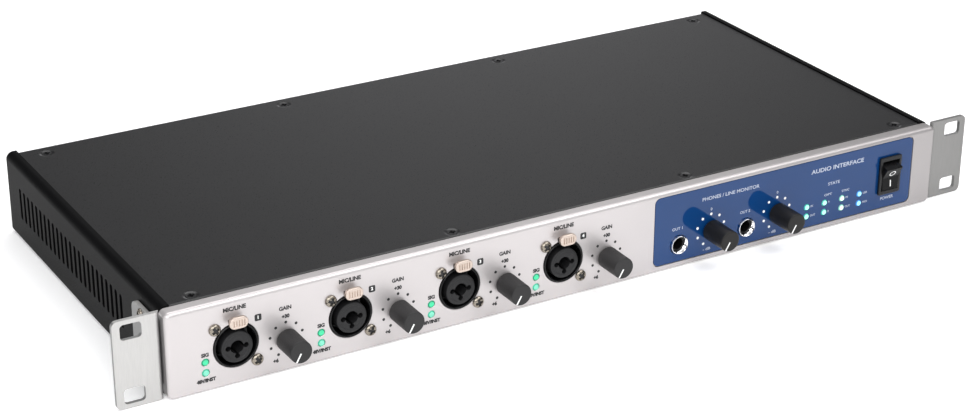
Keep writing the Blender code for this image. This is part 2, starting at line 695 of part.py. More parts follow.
def make_digital_output():
    """Three-pole male connector: three pins in a round recess."""
    place = on_rear(DIGITAL_OUT_X, REAR_MID)
    outline = [
        (0, -14 * MM), (9.6 * MM, -14 * MM), (9.6 * MM, 2 * MM), (11.8 * MM, 2 * MM),
        (11.8 * MM, -22 * MM), (0, -22 * MM),
    ]
    plug = turned("digital_output", outline, place)
    flange = rear_flange(place)
    pins = [disc("pin", 1.2 * MM, -15 * MM, -1 * MM, place, at, 10) for at in pin_circle(4 * MM)]
    return finish(join(plug, flange, *pins), **BLACK_PLASTIC)


def rear_flange(place):
    """Square mounting flange outside the rear panel, open over the connector's face."""
    flange = block("flange", (-13 * MM, -15.5 * MM, GAP), (13 * MM, 15.5 * MM, 1.8 * MM), place, 2 * MM, 2)
    return cut_into_mesh(flange, disc("mouth", 10.6 * MM, -MM, 3 * MM, place, sides=FINE))


def cut_into_mesh(target, tool):
    """Applies one cut at once, for a piece that is itself joined to another."""
    cut(target, tool)
    bpy.context.view_layer.update()
    graph = bpy.context.evaluated_depsgraph_get()
    mesh = bpy.data.meshes.new_from_object(target.evaluated_get(graph))
    target.modifiers.clear()
    target.data = mesh
    return target


def pin_circle(radius):
    angles = [math.radians(a) for a in (210, 330, 90)]
    return [(radius * math.cos(a), radius * math.sin(a)) for a in angles]


def make_word_clock():
    """Two bayonet sockets on a shared bracket; their tips are the rearmost points."""
    place = on_rear(CLOCK_X, REAR_MID)
    bracket = block("word_clock", (-14 * MM, -7 * MM, -12 * MM), (14 * MM, 7 * MM, REAR_INSIDE), place)
    pieces = []
    bores = []
    for side in (-1, 1):
        at = (side * CLOCK_PITCH / 2, 0)
        pieces.append(disc("socket", 4.8 * MM, -3 * MM, REAR_REACH, place, at, COARSE))
        pieces.append(disc("nut", 6.6 * MM, GAP, 2.4 * MM, place, at, 6))
        pieces.append(disc("lug", 1.0 * MM, -6.0 * MM, 6.0 * MM, bayonet(place, at), sides=8))
        bores.append(disc("bore", 3.7 * MM, REAR_REACH - 6 * MM, REAR_REACH + MM, place, at, COARSE))
    return finish(cut(join(bracket, *pieces), *bores), **ZINC)


def bayonet(place, at):
    """The place of a bayonet's cross pin, which lies across its socket."""
    shift = Matrix.Translation((at[0], at[1], REAR_REACH - 8.5 * MM))
    return place @ shift @ Matrix.Rotation(math.pi / 2, 4, "Y")


def make_optical_block():
    """Four optical ports in one housing, each with a shallow shutter recess."""
    place = on_rear(OPTICAL_X, REAR_MID)
    ports = block("optical_ports", (-15 * MM, -13 * MM, -14 * MM), (15 * MM, 13 * MM, 0.6 * MM), place)
    recesses = [
        block("recess", (x - 4.2 * MM, y - 4.2 * MM, -1.2 * MM), (x + 4.2 * MM, y + 4.2 * MM, MM), place)
        for x in (-7.2 * MM, 7.2 * MM)
        for y in (-6.2 * MM, 6.2 * MM)
    ]
    return finish(cut(ports, *recesses), **BLACK_PLASTIC)


def make_computer_ports():
    """The sockets for the computer: one square, two flat."""
    place = on_rear(USB_X, REAR_MID)
    ports = block("computer_ports", (-17 * MM, -6.5 * MM, -16 * MM), (17 * MM, 6.5 * MM, 0.5 * MM), place)
    sockets = [
        block("socket", (-15.5 * MM, -4.2 * MM, -9 * MM), (-6.7 * MM, 4.2 * MM, MM), place),
        block("socket", (-4.2 * MM, -5 * MM, -9 * MM), (1.0 * MM, 5 * MM, MM), place),
        block("socket", (6.6 * MM, -5 * MM, -9 * MM), (11.8 * MM, 5 * MM, MM), place),
    ]
    return finish(cut(ports, *sockets), **ZINC)


def make_mains_inlet():
    """Appliance inlet: a flanged well with three blades."""
    place = on_rear(INLET_X, REAR_MID)
    inlet = block("mains_inlet", (-15.5 * MM, -12 * MM, GAP), (15.5 * MM, 12 * MM, 2.5 * MM), place, 2 * MM, 2)
    body = block("body", (-13.8 * MM, -9.8 * MM, -24 * MM), (13.8 * MM, 9.8 * MM, 2 * MM), place)
    well = block("well", (-12 * MM, -8 * MM, -15 * MM), (12 * MM, 8 * MM, 4 * MM), place)
    blades = [
        block("blade", (x * MM - MM, y * MM - 2 * MM, -16 * MM), (x * MM + MM, y * MM + 2 * MM, 0), place)
        for x, y in ((-7, -2), (0, 1.5), (7, -2))
    ]
    cut(join(inlet, body), well)
    tips = join(inlet, *blades)
    return finish(tips, **BLACK_PLASTIC)


# ---------------------------------------------------------------- the assembly

make_base_tray()
make_top_cover()
make_rear_panel()
make_front_panel()
make_overlay()
for side, hand in ((-1, "left"), (1, "right")):
    make_side_profile(f"side_profile_{hand}", side)
    make_rack_ear(f"rack_ear_{hand}", side)
    for rise, level in ((-EAR_SCREW_RISE, "lower"), (EAR_SCREW_RISE, "upper")):
        make_ear_screw(f"ear_screw_{hand}_{level}", side, rise)

for channel in range(CHANNELS):
    number = channel + 1
    gain_x = jack_x(channel) + GAIN_X
    make_combo_jack(channel)
    make_release_tab(channel)
    make_light_pipe(f"channel_light_pipe_{number}", [jack_x(channel) + LAMP_X])
    make_pot(f"gain_pot_{number}", gain_x, GAIN_Z)
    make_shaft(f"gain_shaft_{number}", gain_x, GAIN_Z)
    make_knob(f"gain_knob_{number}", gain_x, GAIN_Z, KNOB_REACH - MM, (0.06, 0.06, 0.062))

for index, x in enumerate(PHONES_KNOBS):
    number = index + 1
    make_phones_jack(index)
    make_pot(f"phones_pot_{number}", x, PHONES_KNOB_Z)
    make_shaft(f"phones_shaft_{number}", x, PHONES_KNOB_Z)
    make_knob(f"phones_knob_{number}", x, PHONES_KNOB_Z, KNOB_REACH, (0.015, 0.015, 0.016))

make_light_pipe("state_light_pipe", STATE_LAMPS)
make_power_switch()
make_power_rocker()
make_front_board()
make_main_board()
make_power_supply()
make_line_jacks("line_output_jacks", LINE_OUT_X)
make_line_jacks("line_input_jacks", LINE_IN_X)
make_digital_input()
make_digital_output()
make_word_clock()
make_optical_block()
make_computer_ports()
make_mains_inlet()
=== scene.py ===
"""Looks of the rack audio interface: fine meshes, materials, print, floor, light and camera."""

import math

import bmesh
import bpy
from mathutils import Matrix, Vector


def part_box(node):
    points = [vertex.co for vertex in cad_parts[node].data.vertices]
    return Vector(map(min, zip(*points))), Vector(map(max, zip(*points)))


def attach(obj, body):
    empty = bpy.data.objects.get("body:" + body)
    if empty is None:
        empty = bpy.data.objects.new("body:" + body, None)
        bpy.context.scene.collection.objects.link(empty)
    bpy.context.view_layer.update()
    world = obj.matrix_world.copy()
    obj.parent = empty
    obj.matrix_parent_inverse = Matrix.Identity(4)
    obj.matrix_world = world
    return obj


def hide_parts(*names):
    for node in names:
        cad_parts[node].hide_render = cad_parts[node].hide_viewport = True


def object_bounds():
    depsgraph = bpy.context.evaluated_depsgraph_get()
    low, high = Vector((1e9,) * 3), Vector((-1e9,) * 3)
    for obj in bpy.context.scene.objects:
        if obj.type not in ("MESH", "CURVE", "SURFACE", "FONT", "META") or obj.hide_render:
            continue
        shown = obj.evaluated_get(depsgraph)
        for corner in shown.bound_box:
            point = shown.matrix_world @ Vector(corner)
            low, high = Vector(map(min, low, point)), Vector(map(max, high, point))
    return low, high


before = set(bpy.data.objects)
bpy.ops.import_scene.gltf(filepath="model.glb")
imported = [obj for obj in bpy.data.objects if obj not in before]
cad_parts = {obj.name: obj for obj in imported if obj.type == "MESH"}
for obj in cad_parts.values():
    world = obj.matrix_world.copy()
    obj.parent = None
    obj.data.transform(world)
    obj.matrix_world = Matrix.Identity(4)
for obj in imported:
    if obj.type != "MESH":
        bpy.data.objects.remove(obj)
CAD_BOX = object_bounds()

MM = 0.001
ROOT = "chassis"
CHANNELS = range(1, 5)
PHONES = (1, 2)


def box(node):
    """The two ends of a CAD node's box, in millimetres."""
    return [Vector(end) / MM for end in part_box(node)]


def centre(node):
    low, high = box(node)
    return (low + high) / 2


# Places and sizes read from the frame. Shapes are made in millimetres, and piece() turns them to metres.
PANEL_LOW, PANEL_HIGH = box("front_panel")
FACE = PANEL_LOW.y
REAR = box("rear_panel")[1].y
HOUSING_LOW, HOUSING_HIGH = box("side_profile_right")
COVER_LOW, COVER_HIGH = box("top_cover")
OVERLAY_LOW, OVERLAY_HIGH = box("overlay_plate")
SWITCH = centre("power_switch")
JACKS = {i: centre(f"combo_jack_{i}") for i in CHANNELS}
GAINS = {i: centre(f"gain_knob_{i}") for i in CHANNELS}
PHONES_KNOBS = {i: centre(f"phones_knob_{i}") for i in PHONES}
PHONES_JACKS = {i: centre(f"phones_jack_{i}") for i in PHONES}


# ---- mesh tools


def on_front(x, z, out=0.0):
    """A place on the front panel: local +Z stands out of it and local +Y is up."""
    return Matrix.Translation((x, FACE - out, z)) @ Matrix.Rotation(math.pi / 2, 4, "X")


def on_rear(x, z, out=0.0):
    """A place on the rear panel: local +Z points to the rear and local +Y is up."""
    facing = Matrix.Rotation(math.pi, 4, "Z") @ Matrix.Rotation(math.pi / 2, 4, "X")
    return Matrix.Translation((x, REAR + out, z)) @ facing


def at(x, y, z):
    return Matrix.Translation((x, y, z))


def moved(shape, place):
    bmesh.ops.transform(shape, matrix=place, verts=shape.verts)
    return shape


def bevel(shape, edges, width, steps, clamp=False):
    bmesh.ops.bevel(
        shape, geom=edges, offset=width, segments=steps, profile=0.5, affect="EDGES", clamp_overlap=clamp
    )
    return shape


def soften(shape, width, steps=2, angle=35):
    """Rounds every edge that is sharper than the angle."""
    limit = math.radians(angle)
    sharp = [e for e in shape.edges if len(e.link_faces) == 2 and e.calc_face_angle(0) > limit]
    return bevel(shape, sharp, width, steps, clamp=True)


def cuboid(low, high, corner=0.0, edge=0.0, steps=6):
    """A box; corner rounds its edges along Z, and edge then rounds all the others."""
    low, high = Vector(low), Vector(high)
    shape = bmesh.new()
    bmesh.ops.create_cube(shape, size=1.0)
    bmesh.ops.scale(shape, vec=high - low, verts=shape.verts)
    bmesh.ops.translate(shape, vec=(low + high) / 2, verts=shape.verts)
    if corner:
        upright = [e for e in shape.edges if (e.verts[0].co - e.verts[1].co).xy.length < 1e-9]
        bevel(shape, upright, corner, steps)
    return soften(shape, edge, 3) if edge else shape


def slab(half_x, half_y, low, high, corner=0.0, edge=0.0, steps=6):
    """A box whose middle is on local Z."""
    return cuboid((-half_x, -half_y, low), (half_x, half_y, high), corner, edge, steps)


def lathe(profile, sides=48, ring=False):
    """Turns (radius, height) points round local Z. A ring's profile closes on itself."""
    shape = bmesh.new()
    rings = []
    for radius, height in profile:
        count = sides if radius > 1e-9 else 1
        angles = [2 * math.pi / count * k for k in range(count)]
        spots = [(radius * math.cos(a), radius * math.sin(a), height) for a in angles]
        rings.append([shape.verts.new(spot) for spot in spots])
    for upper, lower in zip(rings, rings[1:] + (rings[:1] if ring else [])):
        for k in range(sides):
            around = (upper[k % len(upper)], upper[(k + 1) % len(upper)],
                      lower[(k + 1) % len(lower)], lower[k % len(lower)])
            corners = list(dict.fromkeys(around))
            if len(corners) > 2:
                shape.faces.new(corners)
    bmesh.ops.recalc_face_normals(shape, faces=shape.faces)
    return shape


def drum(radius, low, high, sides=48, place=None):
    """A cylinder round local Z."""
    shape = lathe([(0, high), (radius, high), (radius, low), (0, low)], sides)
    return moved(shape, place) if place else shape


def arc(middle, radius, start, end, steps=8):
    angles = [math.radians(start + (end - start) * i / steps) for i in range(steps + 1)]
    return [(middle[0] + radius * math.cos(a), middle[1] + radius * math.sin(a)) for a in angles]


def prism(outline, low, high, place=None):
    """A closed outline in local XY, drawn out along Z."""
    shape = bmesh.new()
    face = shape.faces.new([shape.verts.new((x, y, low)) for x, y in outline])
    drawn = bmesh.ops.extrude_face_region(shape, geom=[face])["geom"]
    verts = [v for v in drawn if isinstance(v, bmesh.types.BMVert)]
    bmesh.ops.translate(shape, vec=(0, 0, high - low), verts=verts)
    bmesh.ops.recalc_face_normals(shape, faces=shape.faces)
    return moved(shape, place) if place else shape


def folded(outline, low, high, thickness, place=None):
    """Sheet metal: the outline is its outer face in local XY, and the metal lies on its left."""
    inner = []
    for i, point in enumerate(outline):
        before = Vector(outline[max(i - 1, 0)])
        after = Vector(outline[min(i + 1, len(outline) - 1)])
        here = Vector(point)
        first = (here - before).normalized() if i else (after - here).normalized()
        second = (after - here).normalized() if i < len(outline) - 1 else first
        along = (first + second).normalized()
        stretch = 1 / max(along.dot(first), 0.3)
        inner.append(here + Vector((-along.y, along.x)) * thickness * stretch)
    closed = [tuple(p) for p in outline] + [tuple(p) for p in reversed(inner)]
    return prism(closed, low, high, place)


def placed(name, data):
    """A new object in the scene."""
    made = bpy.data.objects.new(name, data)
    bpy.context.scene.collection.objects.link(made)
    return made


def mirrored(shape, side):
    """The shape itself for the right side, or its mirror image for the left one."""
    if side < 0:
        moved(shape, Matrix.Scale(-1, 4, (1, 0, 0)))
        bmesh.ops.reverse_faces(shape, faces=shape.faces)
    return shape


def gathered(shapes):
    """Several shapes as one mesh, without joining their surfaces."""
    whole = bmesh.new()
    for shape in shapes:
        mesh = bpy.data.meshes.new("part")
        shape.to_mesh(mesh)
        shape.free()
        whole.from_mesh(mesh)
        bpy.data.meshes.remove(mesh)
    return whole


def boolean(shape, tools, operation="DIFFERENCE", crossing=False):
    """Cuts the tools out of the shape, or joins them to it. Tools that cross need crossing."""
    pair = []
    for source in (shape, gathered(tools)):
        mesh = bpy.data.meshes.new("work")
        source.to_mesh(mesh)
        source.free()
        pair.append(placed("work", mesh))
    modifier = pair[0].modifiers.new("work", "BOOLEAN")
    modifier.operation = operation
    modifier.object = pair[1]
    modifier.solver = "EXACT"
    modifier.use_self = crossing
    graph = bpy.context.evaluated_depsgraph_get()
    result = bmesh.new()
    result.from_mesh(pair[0].evaluated_get(graph).data)
    for used in pair:
        mesh = used.data
        bpy.data.objects.remove(used)
        bpy.data.meshes.remove(mesh)
    return result


def union(shape, *tools):
    return boolean(shape, tools, "UNION", crossing=True)


def mark(shape, test):
    """Gives the faces that pass the test their piece's second material."""
    shape.normal_update()
    for face in shape.faces:
        if test(face):
            face.material_index = 1


def piece(name, shape, material, body=ROOT, stands_for=(), place=None, angle=32,
          second=None):
    """Makes the shape a visible piece that rides on a CAD body and hides the CAD nodes it stands for."""
    moved(shape, Matrix.Scale(MM, 4) @ (place or Matrix()))
    mesh = bpy.data.meshes.new(name)
    shape.to_mesh(mesh)
    shape.free()
    mesh.materials.append(material)
    if second:
        mesh.materials.append(second)
    mesh.shade_smooth()
    mesh.set_sharp_from_angle(angle=math.radians(angle))
    made = placed(name, mesh)
    normals = made.modifiers.new("normals", "WEIGHTED_NORMAL")
    normals.weight = 100
    normals.keep_sharp = True
    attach(made, body)
    if stands_for:
        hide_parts(*stands_for)


# ---- materials

# The part of a noise's range that most of it lies in
NOISE_LOW, NOISE_HIGH = 0.3, 0.7


def shader_of(name, color, roughness, metallic=0.0, **sockets):
    """A Principled material with its even values on the shader's own sockets."""
    material = bpy.data.materials.new(name)
    material.use_nodes = True
    tree = material.node_tree
    shader = tree.nodes["Principled BSDF"]
    shader.inputs["Base Color"].default_value = (*color, 1.0)
    shader.inputs["Roughness"].default_value = roughness
    shader.inputs["Metallic"].default_value = metallic
    for socket, value in sockets.items():
        shader.inputs[socket.replace("_", " ")].default_value = value
    return material, tree, shader


def add(tree, kind, **values):
    """A new node with values on its inputs. An input's name has underscores for its spaces."""
    node = tree.nodes.new(f"ShaderNode{kind}")
    for socket, value in values.items():
        node.inputs[socket.replace("_", " ")].default_value = value
    return node


def noise(tree, scale, detail=4.0, stretch=(1, 1, 1)):
    """Noise over the piece's own coordinates, in metres; stretch draws it out along an axis."""
    place = add(tree, "TexCoord")
    mapping = add(tree, "Mapping", Scale=stretch)
    texture = add(tree, "TexNoise", Scale=scale, Detail=detail)
    tree.links.new(place.outputs["Object"], mapping.inputs["Vector"])
    tree.links.new(mapping.outputs["Vector"], texture.inputs["Vector"])
    return texture.outputs["Fac"]


def ranged(tree, source, low, high):
    """Maps the middle of a noise to a range."""
    node = add(tree, "MapRange", From_Min=NOISE_LOW, From_Max=NOISE_HIGH, To_Min=low, To_Max=high)
    tree.links.new(source, node.inputs["Value"])
    return node.outputs["Result"]


def tinted(tree, shader, source, dark, light, socket="Base Color"):
    """Colour that varies between two tones."""
    ramp = add(tree, "ValToRGB")
    for element, position, tone in zip(ramp.color_ramp.elements, (NOISE_LOW, NOISE_HIGH), (dark, light)):
        element.position = position
        element.color = (*tone, 1.0)
    tree.links.new(source, ramp.inputs["Fac"])
    tree.links.new(ramp.outputs["Color"], shader.inputs[socket])


def bumped(tree, shader, source, strength, depth):
    bump = add(tree, "Bump", Strength=strength, Distance=depth)
    tree.links.new(source, bump.inputs["Height"])
    tree.links.new(bump.outputs["Normal"], shader.inputs["Normal"])


def shade(color, share):
    return tuple(min(1.0, c * share) for c in color)


def faded(tree, shader, share):
    """Painted shade: lets the base colour fall to a share of itself from the middle to the right-hand end,
    as if less light reached it there.
    """
    place = add(tree, "TexCoord")
    split = add(tree, "SeparateXYZ")
    fall = add(tree, "MapRange", From_Max=CAD_BOX[1].x, To_Min=1.0, To_Max=share)
    scale = add(tree, "VectorMath")
    scale.operation = "SCALE"
    tint = shader.inputs["Base Color"].links[0].from_socket
    tree.links.new(place.outputs["Object"], split.inputs["Vector"])
    tree.links.new(split.outputs["X"], fall.inputs["Value"])
    tree.links.new(tint, scale.inputs["Vector"])
    tree.links.new(fall.outputs["Result"], scale.inputs["Scale"])
    tree.links.new(scale.outputs["Vector"], shader.inputs["Base Color"])


def grained(name, color, roughness, metallic=0.0, grain=1500, depth=0.04 * MM, spread=0.12, right_shade_share=None,
            **sockets):
    """Moulded or coated surface: fine grain, and a little drift in tone and roughness. An optional share
    paints shade that darkens it towards the right-hand end.
    """
    material, tree, shader = shader_of(name, color, roughness, metallic, **sockets)
    fine = noise(tree, grain)
    tinted(tree, shader, noise(tree, 25, 2.0), shade(color, 1 - spread), shade(color, 1 + spread))
    tree.links.new(ranged(tree, fine, roughness * 0.85, roughness * 1.15), shader.inputs["Roughness"])
    bumped(tree, shader, fine, 0.35, depth)
    if right_shade_share:
        faded(tree, shader, right_shade_share)
    return material


def brushed(name, color, roughness, along=(1, 1, 1), spread=0.05, metallic=1.0, right_shade_share=None):
    """Metal with fine grain, drawn out into lines along the axis whose scale is small. An optional share
    paints shade that darkens it towards the right-hand end.
    """
    material, tree, shader = shader_of(name, color, roughness, metallic)
    lines = noise(tree, 2600, 3.0, along)
    tinted(tree, shader, lines, shade(color, 1 - spread), shade(color, 1 + spread))
    tree.links.new(ranged(tree, lines, roughness * 0.85, roughness * 1.2), shader.inputs["Roughness"])
    bumped(tree, shader, lines, 0.12, 0.01 * MM)
    if right_shade_share:
        faded(tree, shader, right_shade_share)
    return material


def lamp(name, color, strength):
    """Lit lens whose glow varies a little, as moulded plastic does."""
    material, tree, shader = shader_of(name, shade(color, 0.12), 0.15, Emission_Strength=strength)
    tinted(tree, shader, noise(tree, 700), shade(color, 0.7), color, "Emission Color")
    return material


def lamp_pair(name, core, rim, strength=1.5):
    """A lens's bright middle and its darker rim."""
    return lamp(f"{name}_lamp", core, strength), lamp(f"{name}_lamp_edge", rim, 1.0)


COAT = grained("black_powder_coat", (0.005, 0.005, 0.0054), 0.31, grain=2200, depth=0.05 * MM)
PROFILE_COAT = grained("black_anodised_profile", (0.0026, 0.0026, 0.0029), 0.5, grain=1800,
                       Specular_IOR_Level=0.05)
# Painted shade: the satin panel's tone falls towards the right-hand end.
PANEL = grained("satin_aluminium", (0.545, 0.517, 0.517), 0.38, 0.6, grain=2600, depth=0.02 * MM,
                spread=0.015, right_shade_share=0.62)
BLUE = grained("blue_gloss_overlay", (0.0028, 0.036, 0.138), 0.035, grain=500, depth=0.001 * MM,
               spread=0.04, Specular_IOR_Level=0.42)
# Painted shade: the zinc's tone falls towards the right-hand end.
ZINC = brushed("zinc_sheet", (0.48, 0.475, 0.465), 0.36, along=(1, 1, 0.05), metallic=0.6, right_shade_share=0.46)
# Darker copy of the zinc: painted shade on the ears' sideways faces and slot walls.
ZINC_SIDE_SHADE = brushed("zinc_painted_side_shade", (0.24, 0.24, 0.238), 0.5, metallic=0.6)
# Darker copy of the panel's finish: painted shade on the panel's end faces.
PANEL_END_SHADE = grained("panel_painted_end_shade", (0.26, 0.25, 0.25), 0.5, 0.3, grain=2600, depth=0.02 * MM)
STEEL = brushed("screw_steel", (0.28, 0.25, 0.21), 0.26, spread=0.1)
BLACK_STEEL = grained("blackened_steel", (0.014, 0.014, 0.015), 0.36, 0.3, grain=2500)
NICKEL = brushed("warm_nickel", (0.58, 0.49, 0.43), 0.36, along=(0.1, 1, 1), spread=0.08)
CHROME = brushed("polished_chrome", (0.86, 0.86, 0.87), 0.09, spread=0.02)
GLOSS_BLACK = grained("gloss_black_plastic", (0.003, 0.003, 0.0034), 0.14, grain=900, depth=0.01 * MM,
                     Specular_IOR_Level=0.22)
ROCKER_BLACK = grained("black_rocker_plastic", (0.004, 0.004, 0.0045), 0.3, grain=900, depth=0.01 * MM,
                       Specular_IOR_Level=0.13)
INSERT = grained("dark_grey_insert", (0.011, 0.011, 0.012), 0.48, Specular_IOR_Level=0.3)
PLASTIC = grained("black_plastic", (0.006, 0.006, 0.0066), 0.3, Specular_IOR_Level=0.32)
GREY_KNOB = grained("grey_knob_plastic", (0.0185, 0.018, 0.0185), 0.5, Specular_IOR_Level=0.3)
BLACK_KNOB = grained("black_knob_plastic", (0.007, 0.0065, 0.0062), 0.42, Specular_IOR_Level=0.28)
WHITE_PLASTIC = grained("white_insulator", (0.62, 0.61, 0.58), 0.45)
SHAFT = brushed("turned_steel", (0.58, 0.58, 0.59), 0.3)
BOARD = grained("circuit_board", (0.012, 0.11, 0.05), 0.4, grain=700, spread=0.25)
SUPPLY = grained("supply_parts", (0.20, 0.15, 0.05), 0.5, grain=600, spread=0.3)
BLACK_INK = grained("black_ink", (0.012, 0.012, 0.013), 0.6, grain=3000, depth=0.002 * MM)
WHITE_INK = grained("white_ink", (0.85, 0.85, 0.84), 0.6, grain=3000, depth=0.002 * MM, spread=0.03)
PALE_INK = grained("pale_blue_ink", (0.42, 0.46, 0.55), 0.6, grain=3000, depth=0.002 * MM, spread=0.03)
GREEN = lamp_pair("green", (0.06, 0.86, 0.42), (0.015, 0.42, 0.22), 1.0)
AQUA = lamp_pair("aqua", (0.26, 0.92, 0.66), (0.06, 0.60, 0.38), 1.0)
TEAL = lamp_pair("teal", (0.45, 1.0, 0.86), (0.03, 0.55, 0.46))
WHITE_LAMP = lamp_pair("white", (0.80, 1.0, 0.88), (0.25, 0.72, 0.60))
CYAN = lamp_pair("cyan", (0.36, 0.85, 1.0), (0.03, 0.30, 0.85))


def repaint(material, *nodes):
    """Gives CAD nodes that stay as they are a material, and smooth round faces."""
    for node in nodes:
        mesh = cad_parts[node].data
        mesh.materials.clear()
        mesh.materials.append(material)
        mesh.shade_smooth()
        mesh.set_sharp_from_angle(angle=math.radians(35))


repaint(COAT, "base_tray")
repaint(SHAFT, *[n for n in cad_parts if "_shaft_" in n or "_pot_" in n])
repaint(BOARD, "front_board", "main_board")
repaint(SUPPLY, "power_supply")


# ---- housing

SHEET = 1.5
CREST_WIDTH = 5.8
CREST_RADIUS = 3.8
FOOT_RADIUS = 2.5
PROFILE_WALL = 2.2
VENT_COUNT = 24
VENT_PITCH = 5.9
VENT_FIRST = HOUSING_LOW.y + 45.2
VENT_SPAN = (13.6, 30.7)
VENT_WIDTH = 3.0
ALONG_X = Matrix(((0, 0, 1, 0), (1, 0, 0, 0), (0, 1, 0, 0), (0, 0, 0, 1)))
ALONG_Y = Matrix.Rotation(math.pi / 2, 4, "X")
UPRIGHT_X = Matrix.Rotation(math.pi / 2, 4, "Z") @ ALONG_Y
DOME_ANGLES = (0.3, 0.6, 0.85, 1.1, 1.3, 1.45)
# The arms' reach, their half width and their depth, as shares of a screw head's radius
CROSS_ARM, CROSS_SLOT, CROSS_DEPTH = 0.66, 0.24, 0.45


def cross_screw(name, place, radius, material, dome=0.9, flat=False, stands_for=()):
    """A screw head with a cross recess, domed or flush. A domed one's recess gets a dark disc at its floor
    as painted shade.
    """
    if flat:
        cone = radius * 0.45
        profile = [(0, 0), (radius * 0.97, 0), (radius, -0.1), (cone, -1.3), (0, -1.3)]
    else:
        rise = [(radius * math.sin(a), dome * math.cos(a) ** 0.85) for a in DOME_ANGLES]
        profile = [(0, dome)] + rise + [(radius, 0.05), (radius, -0.25), (0, -0.25)]
    arm, slot = radius * CROSS_ARM, radius * CROSS_SLOT
    top = 0.0 if flat else dome
    floor = top - CROSS_DEPTH * radius
    cross = [
        cuboid((-arm, -slot, floor), (arm, slot, top + 1)),
        cuboid((-slot, -arm, floor), (slot, arm, top + 1)),
    ]
    head = boolean(lathe(profile, 32), cross, crossing=True)
    piece(name, head, material, place=place, stands_for=stands_for, angle=40)
    if not flat:
        # Painted shade: a dark disc at the floor of the cross recess.
        recess_shade_disc = drum(radius * 0.7, 0, floor + 0.15 * radius, 24, place)
        piece(f"{name}_recess", recess_shade_disc, BLACK_STEEL)


COVER_FOLD = 5
COVER_BEND = 0.8
COVER_SCREW_X = (-200, -66.7, 66.7, 200)
COVER_SCREW_ROWS = {"front": HOUSING_LOW.y + 5.1, "rear": HOUSING_HIGH.y - 10}


def cover_screw_places():
    for i, x in enumerate(COVER_SCREW_X):
        for row, y in COVER_SCREW_ROWS.items():
            yield f"cover_screw_{row}_{i + 1}", x, y


def make_cover():
    """Flat lid with folded front and rear edges, pressed in round each screw."""
    front, back = COVER_LOW.y, COVER_HIGH.y
    top = COVER_HIGH.z
    fold = top - COVER_FOLD
    outline = [(back, fold)] + arc((back - COVER_BEND, top - COVER_BEND), COVER_BEND, 0, 90, 4)
    outline += arc((front + COVER_BEND, top - COVER_BEND), COVER_BEND, 90, 180, 4) + [(front, fold)]
    lid = folded(outline, COVER_LOW.x, COVER_HIGH.x, SHEET, ALONG_X)
    dimple = [(0, 1), (4.2, 1), (4.2, 0.02), (3.9, -0.05), (2.75, -0.28), (1.7, -1), (1.7, -3), (0, -3)]
    sinks = [moved(lathe(dimple, 40), at(x, y, top)) for _, x, y in cover_screw_places()]
    piece("cover_lid", boolean(lid, sinks), COAT, stands_for=["top_cover"], angle=25)
    for name, x, y in cover_screw_places():
        cross_screw(name, at(x, y, top - 0.15), 2.6, BLACK_STEEL, flat=True)


def make_side_wall(hand, side):
    """Extruded side wall with its rounded crest and its vents with round ends."""
    outer = HOUSING_HIGH.x
    inner = outer - CREST_WIDTH
    height = HOUSING_HIGH.z
    outline = [(inner, 0)]
    outline += arc((outer - FOOT_RADIUS, FOOT_RADIUS), FOOT_RADIUS, -90, 0, 8)
    outline += arc((outer - CREST_RADIUS, height - CREST_RADIUS), CREST_RADIUS, 0, 90, 16)
    outline += [(inner, height)]
    wall = folded(outline, -HOUSING_HIGH.y, -HOUSING_LOW.y, PROFILE_WALL, ALONG_Y)
    soften(wall, 0.5, 3, 50)
    low, high = VENT_SPAN
    slots = []
    for i in range(VENT_COUNT):
        half = VENT_WIDTH / 2
        slot = cuboid((-half, low, -1), (half, high, 2 * PROFILE_WALL), corner=half * 0.9, steps=5)
        place = at(outer - 1.5 * PROFILE_WALL, VENT_FIRST + i * VENT_PITCH, 0)
        slots.append(moved(slot, place @ UPRIGHT_X))
    wall = boolean(wall, slots)
    piece(f"side_wall_{hand}", mirrored(wall, side), PROFILE_COAT, angle=25,
          stands_for=[f"side_profile_{hand}"])


# ---- rack ears

EAR_SHEET = 2.0
EAR_BEND = 2.5
EAR_CORNER = 2.6
FLANGE_HALF = 16.1
FLANGE_CORNER = 4.5
RACK_HOLE_X = 232.55
RACK_HOLE_RISE = 15.875
RACK_HOLE_HALF = (5.1, 3.8)  # along X and Z


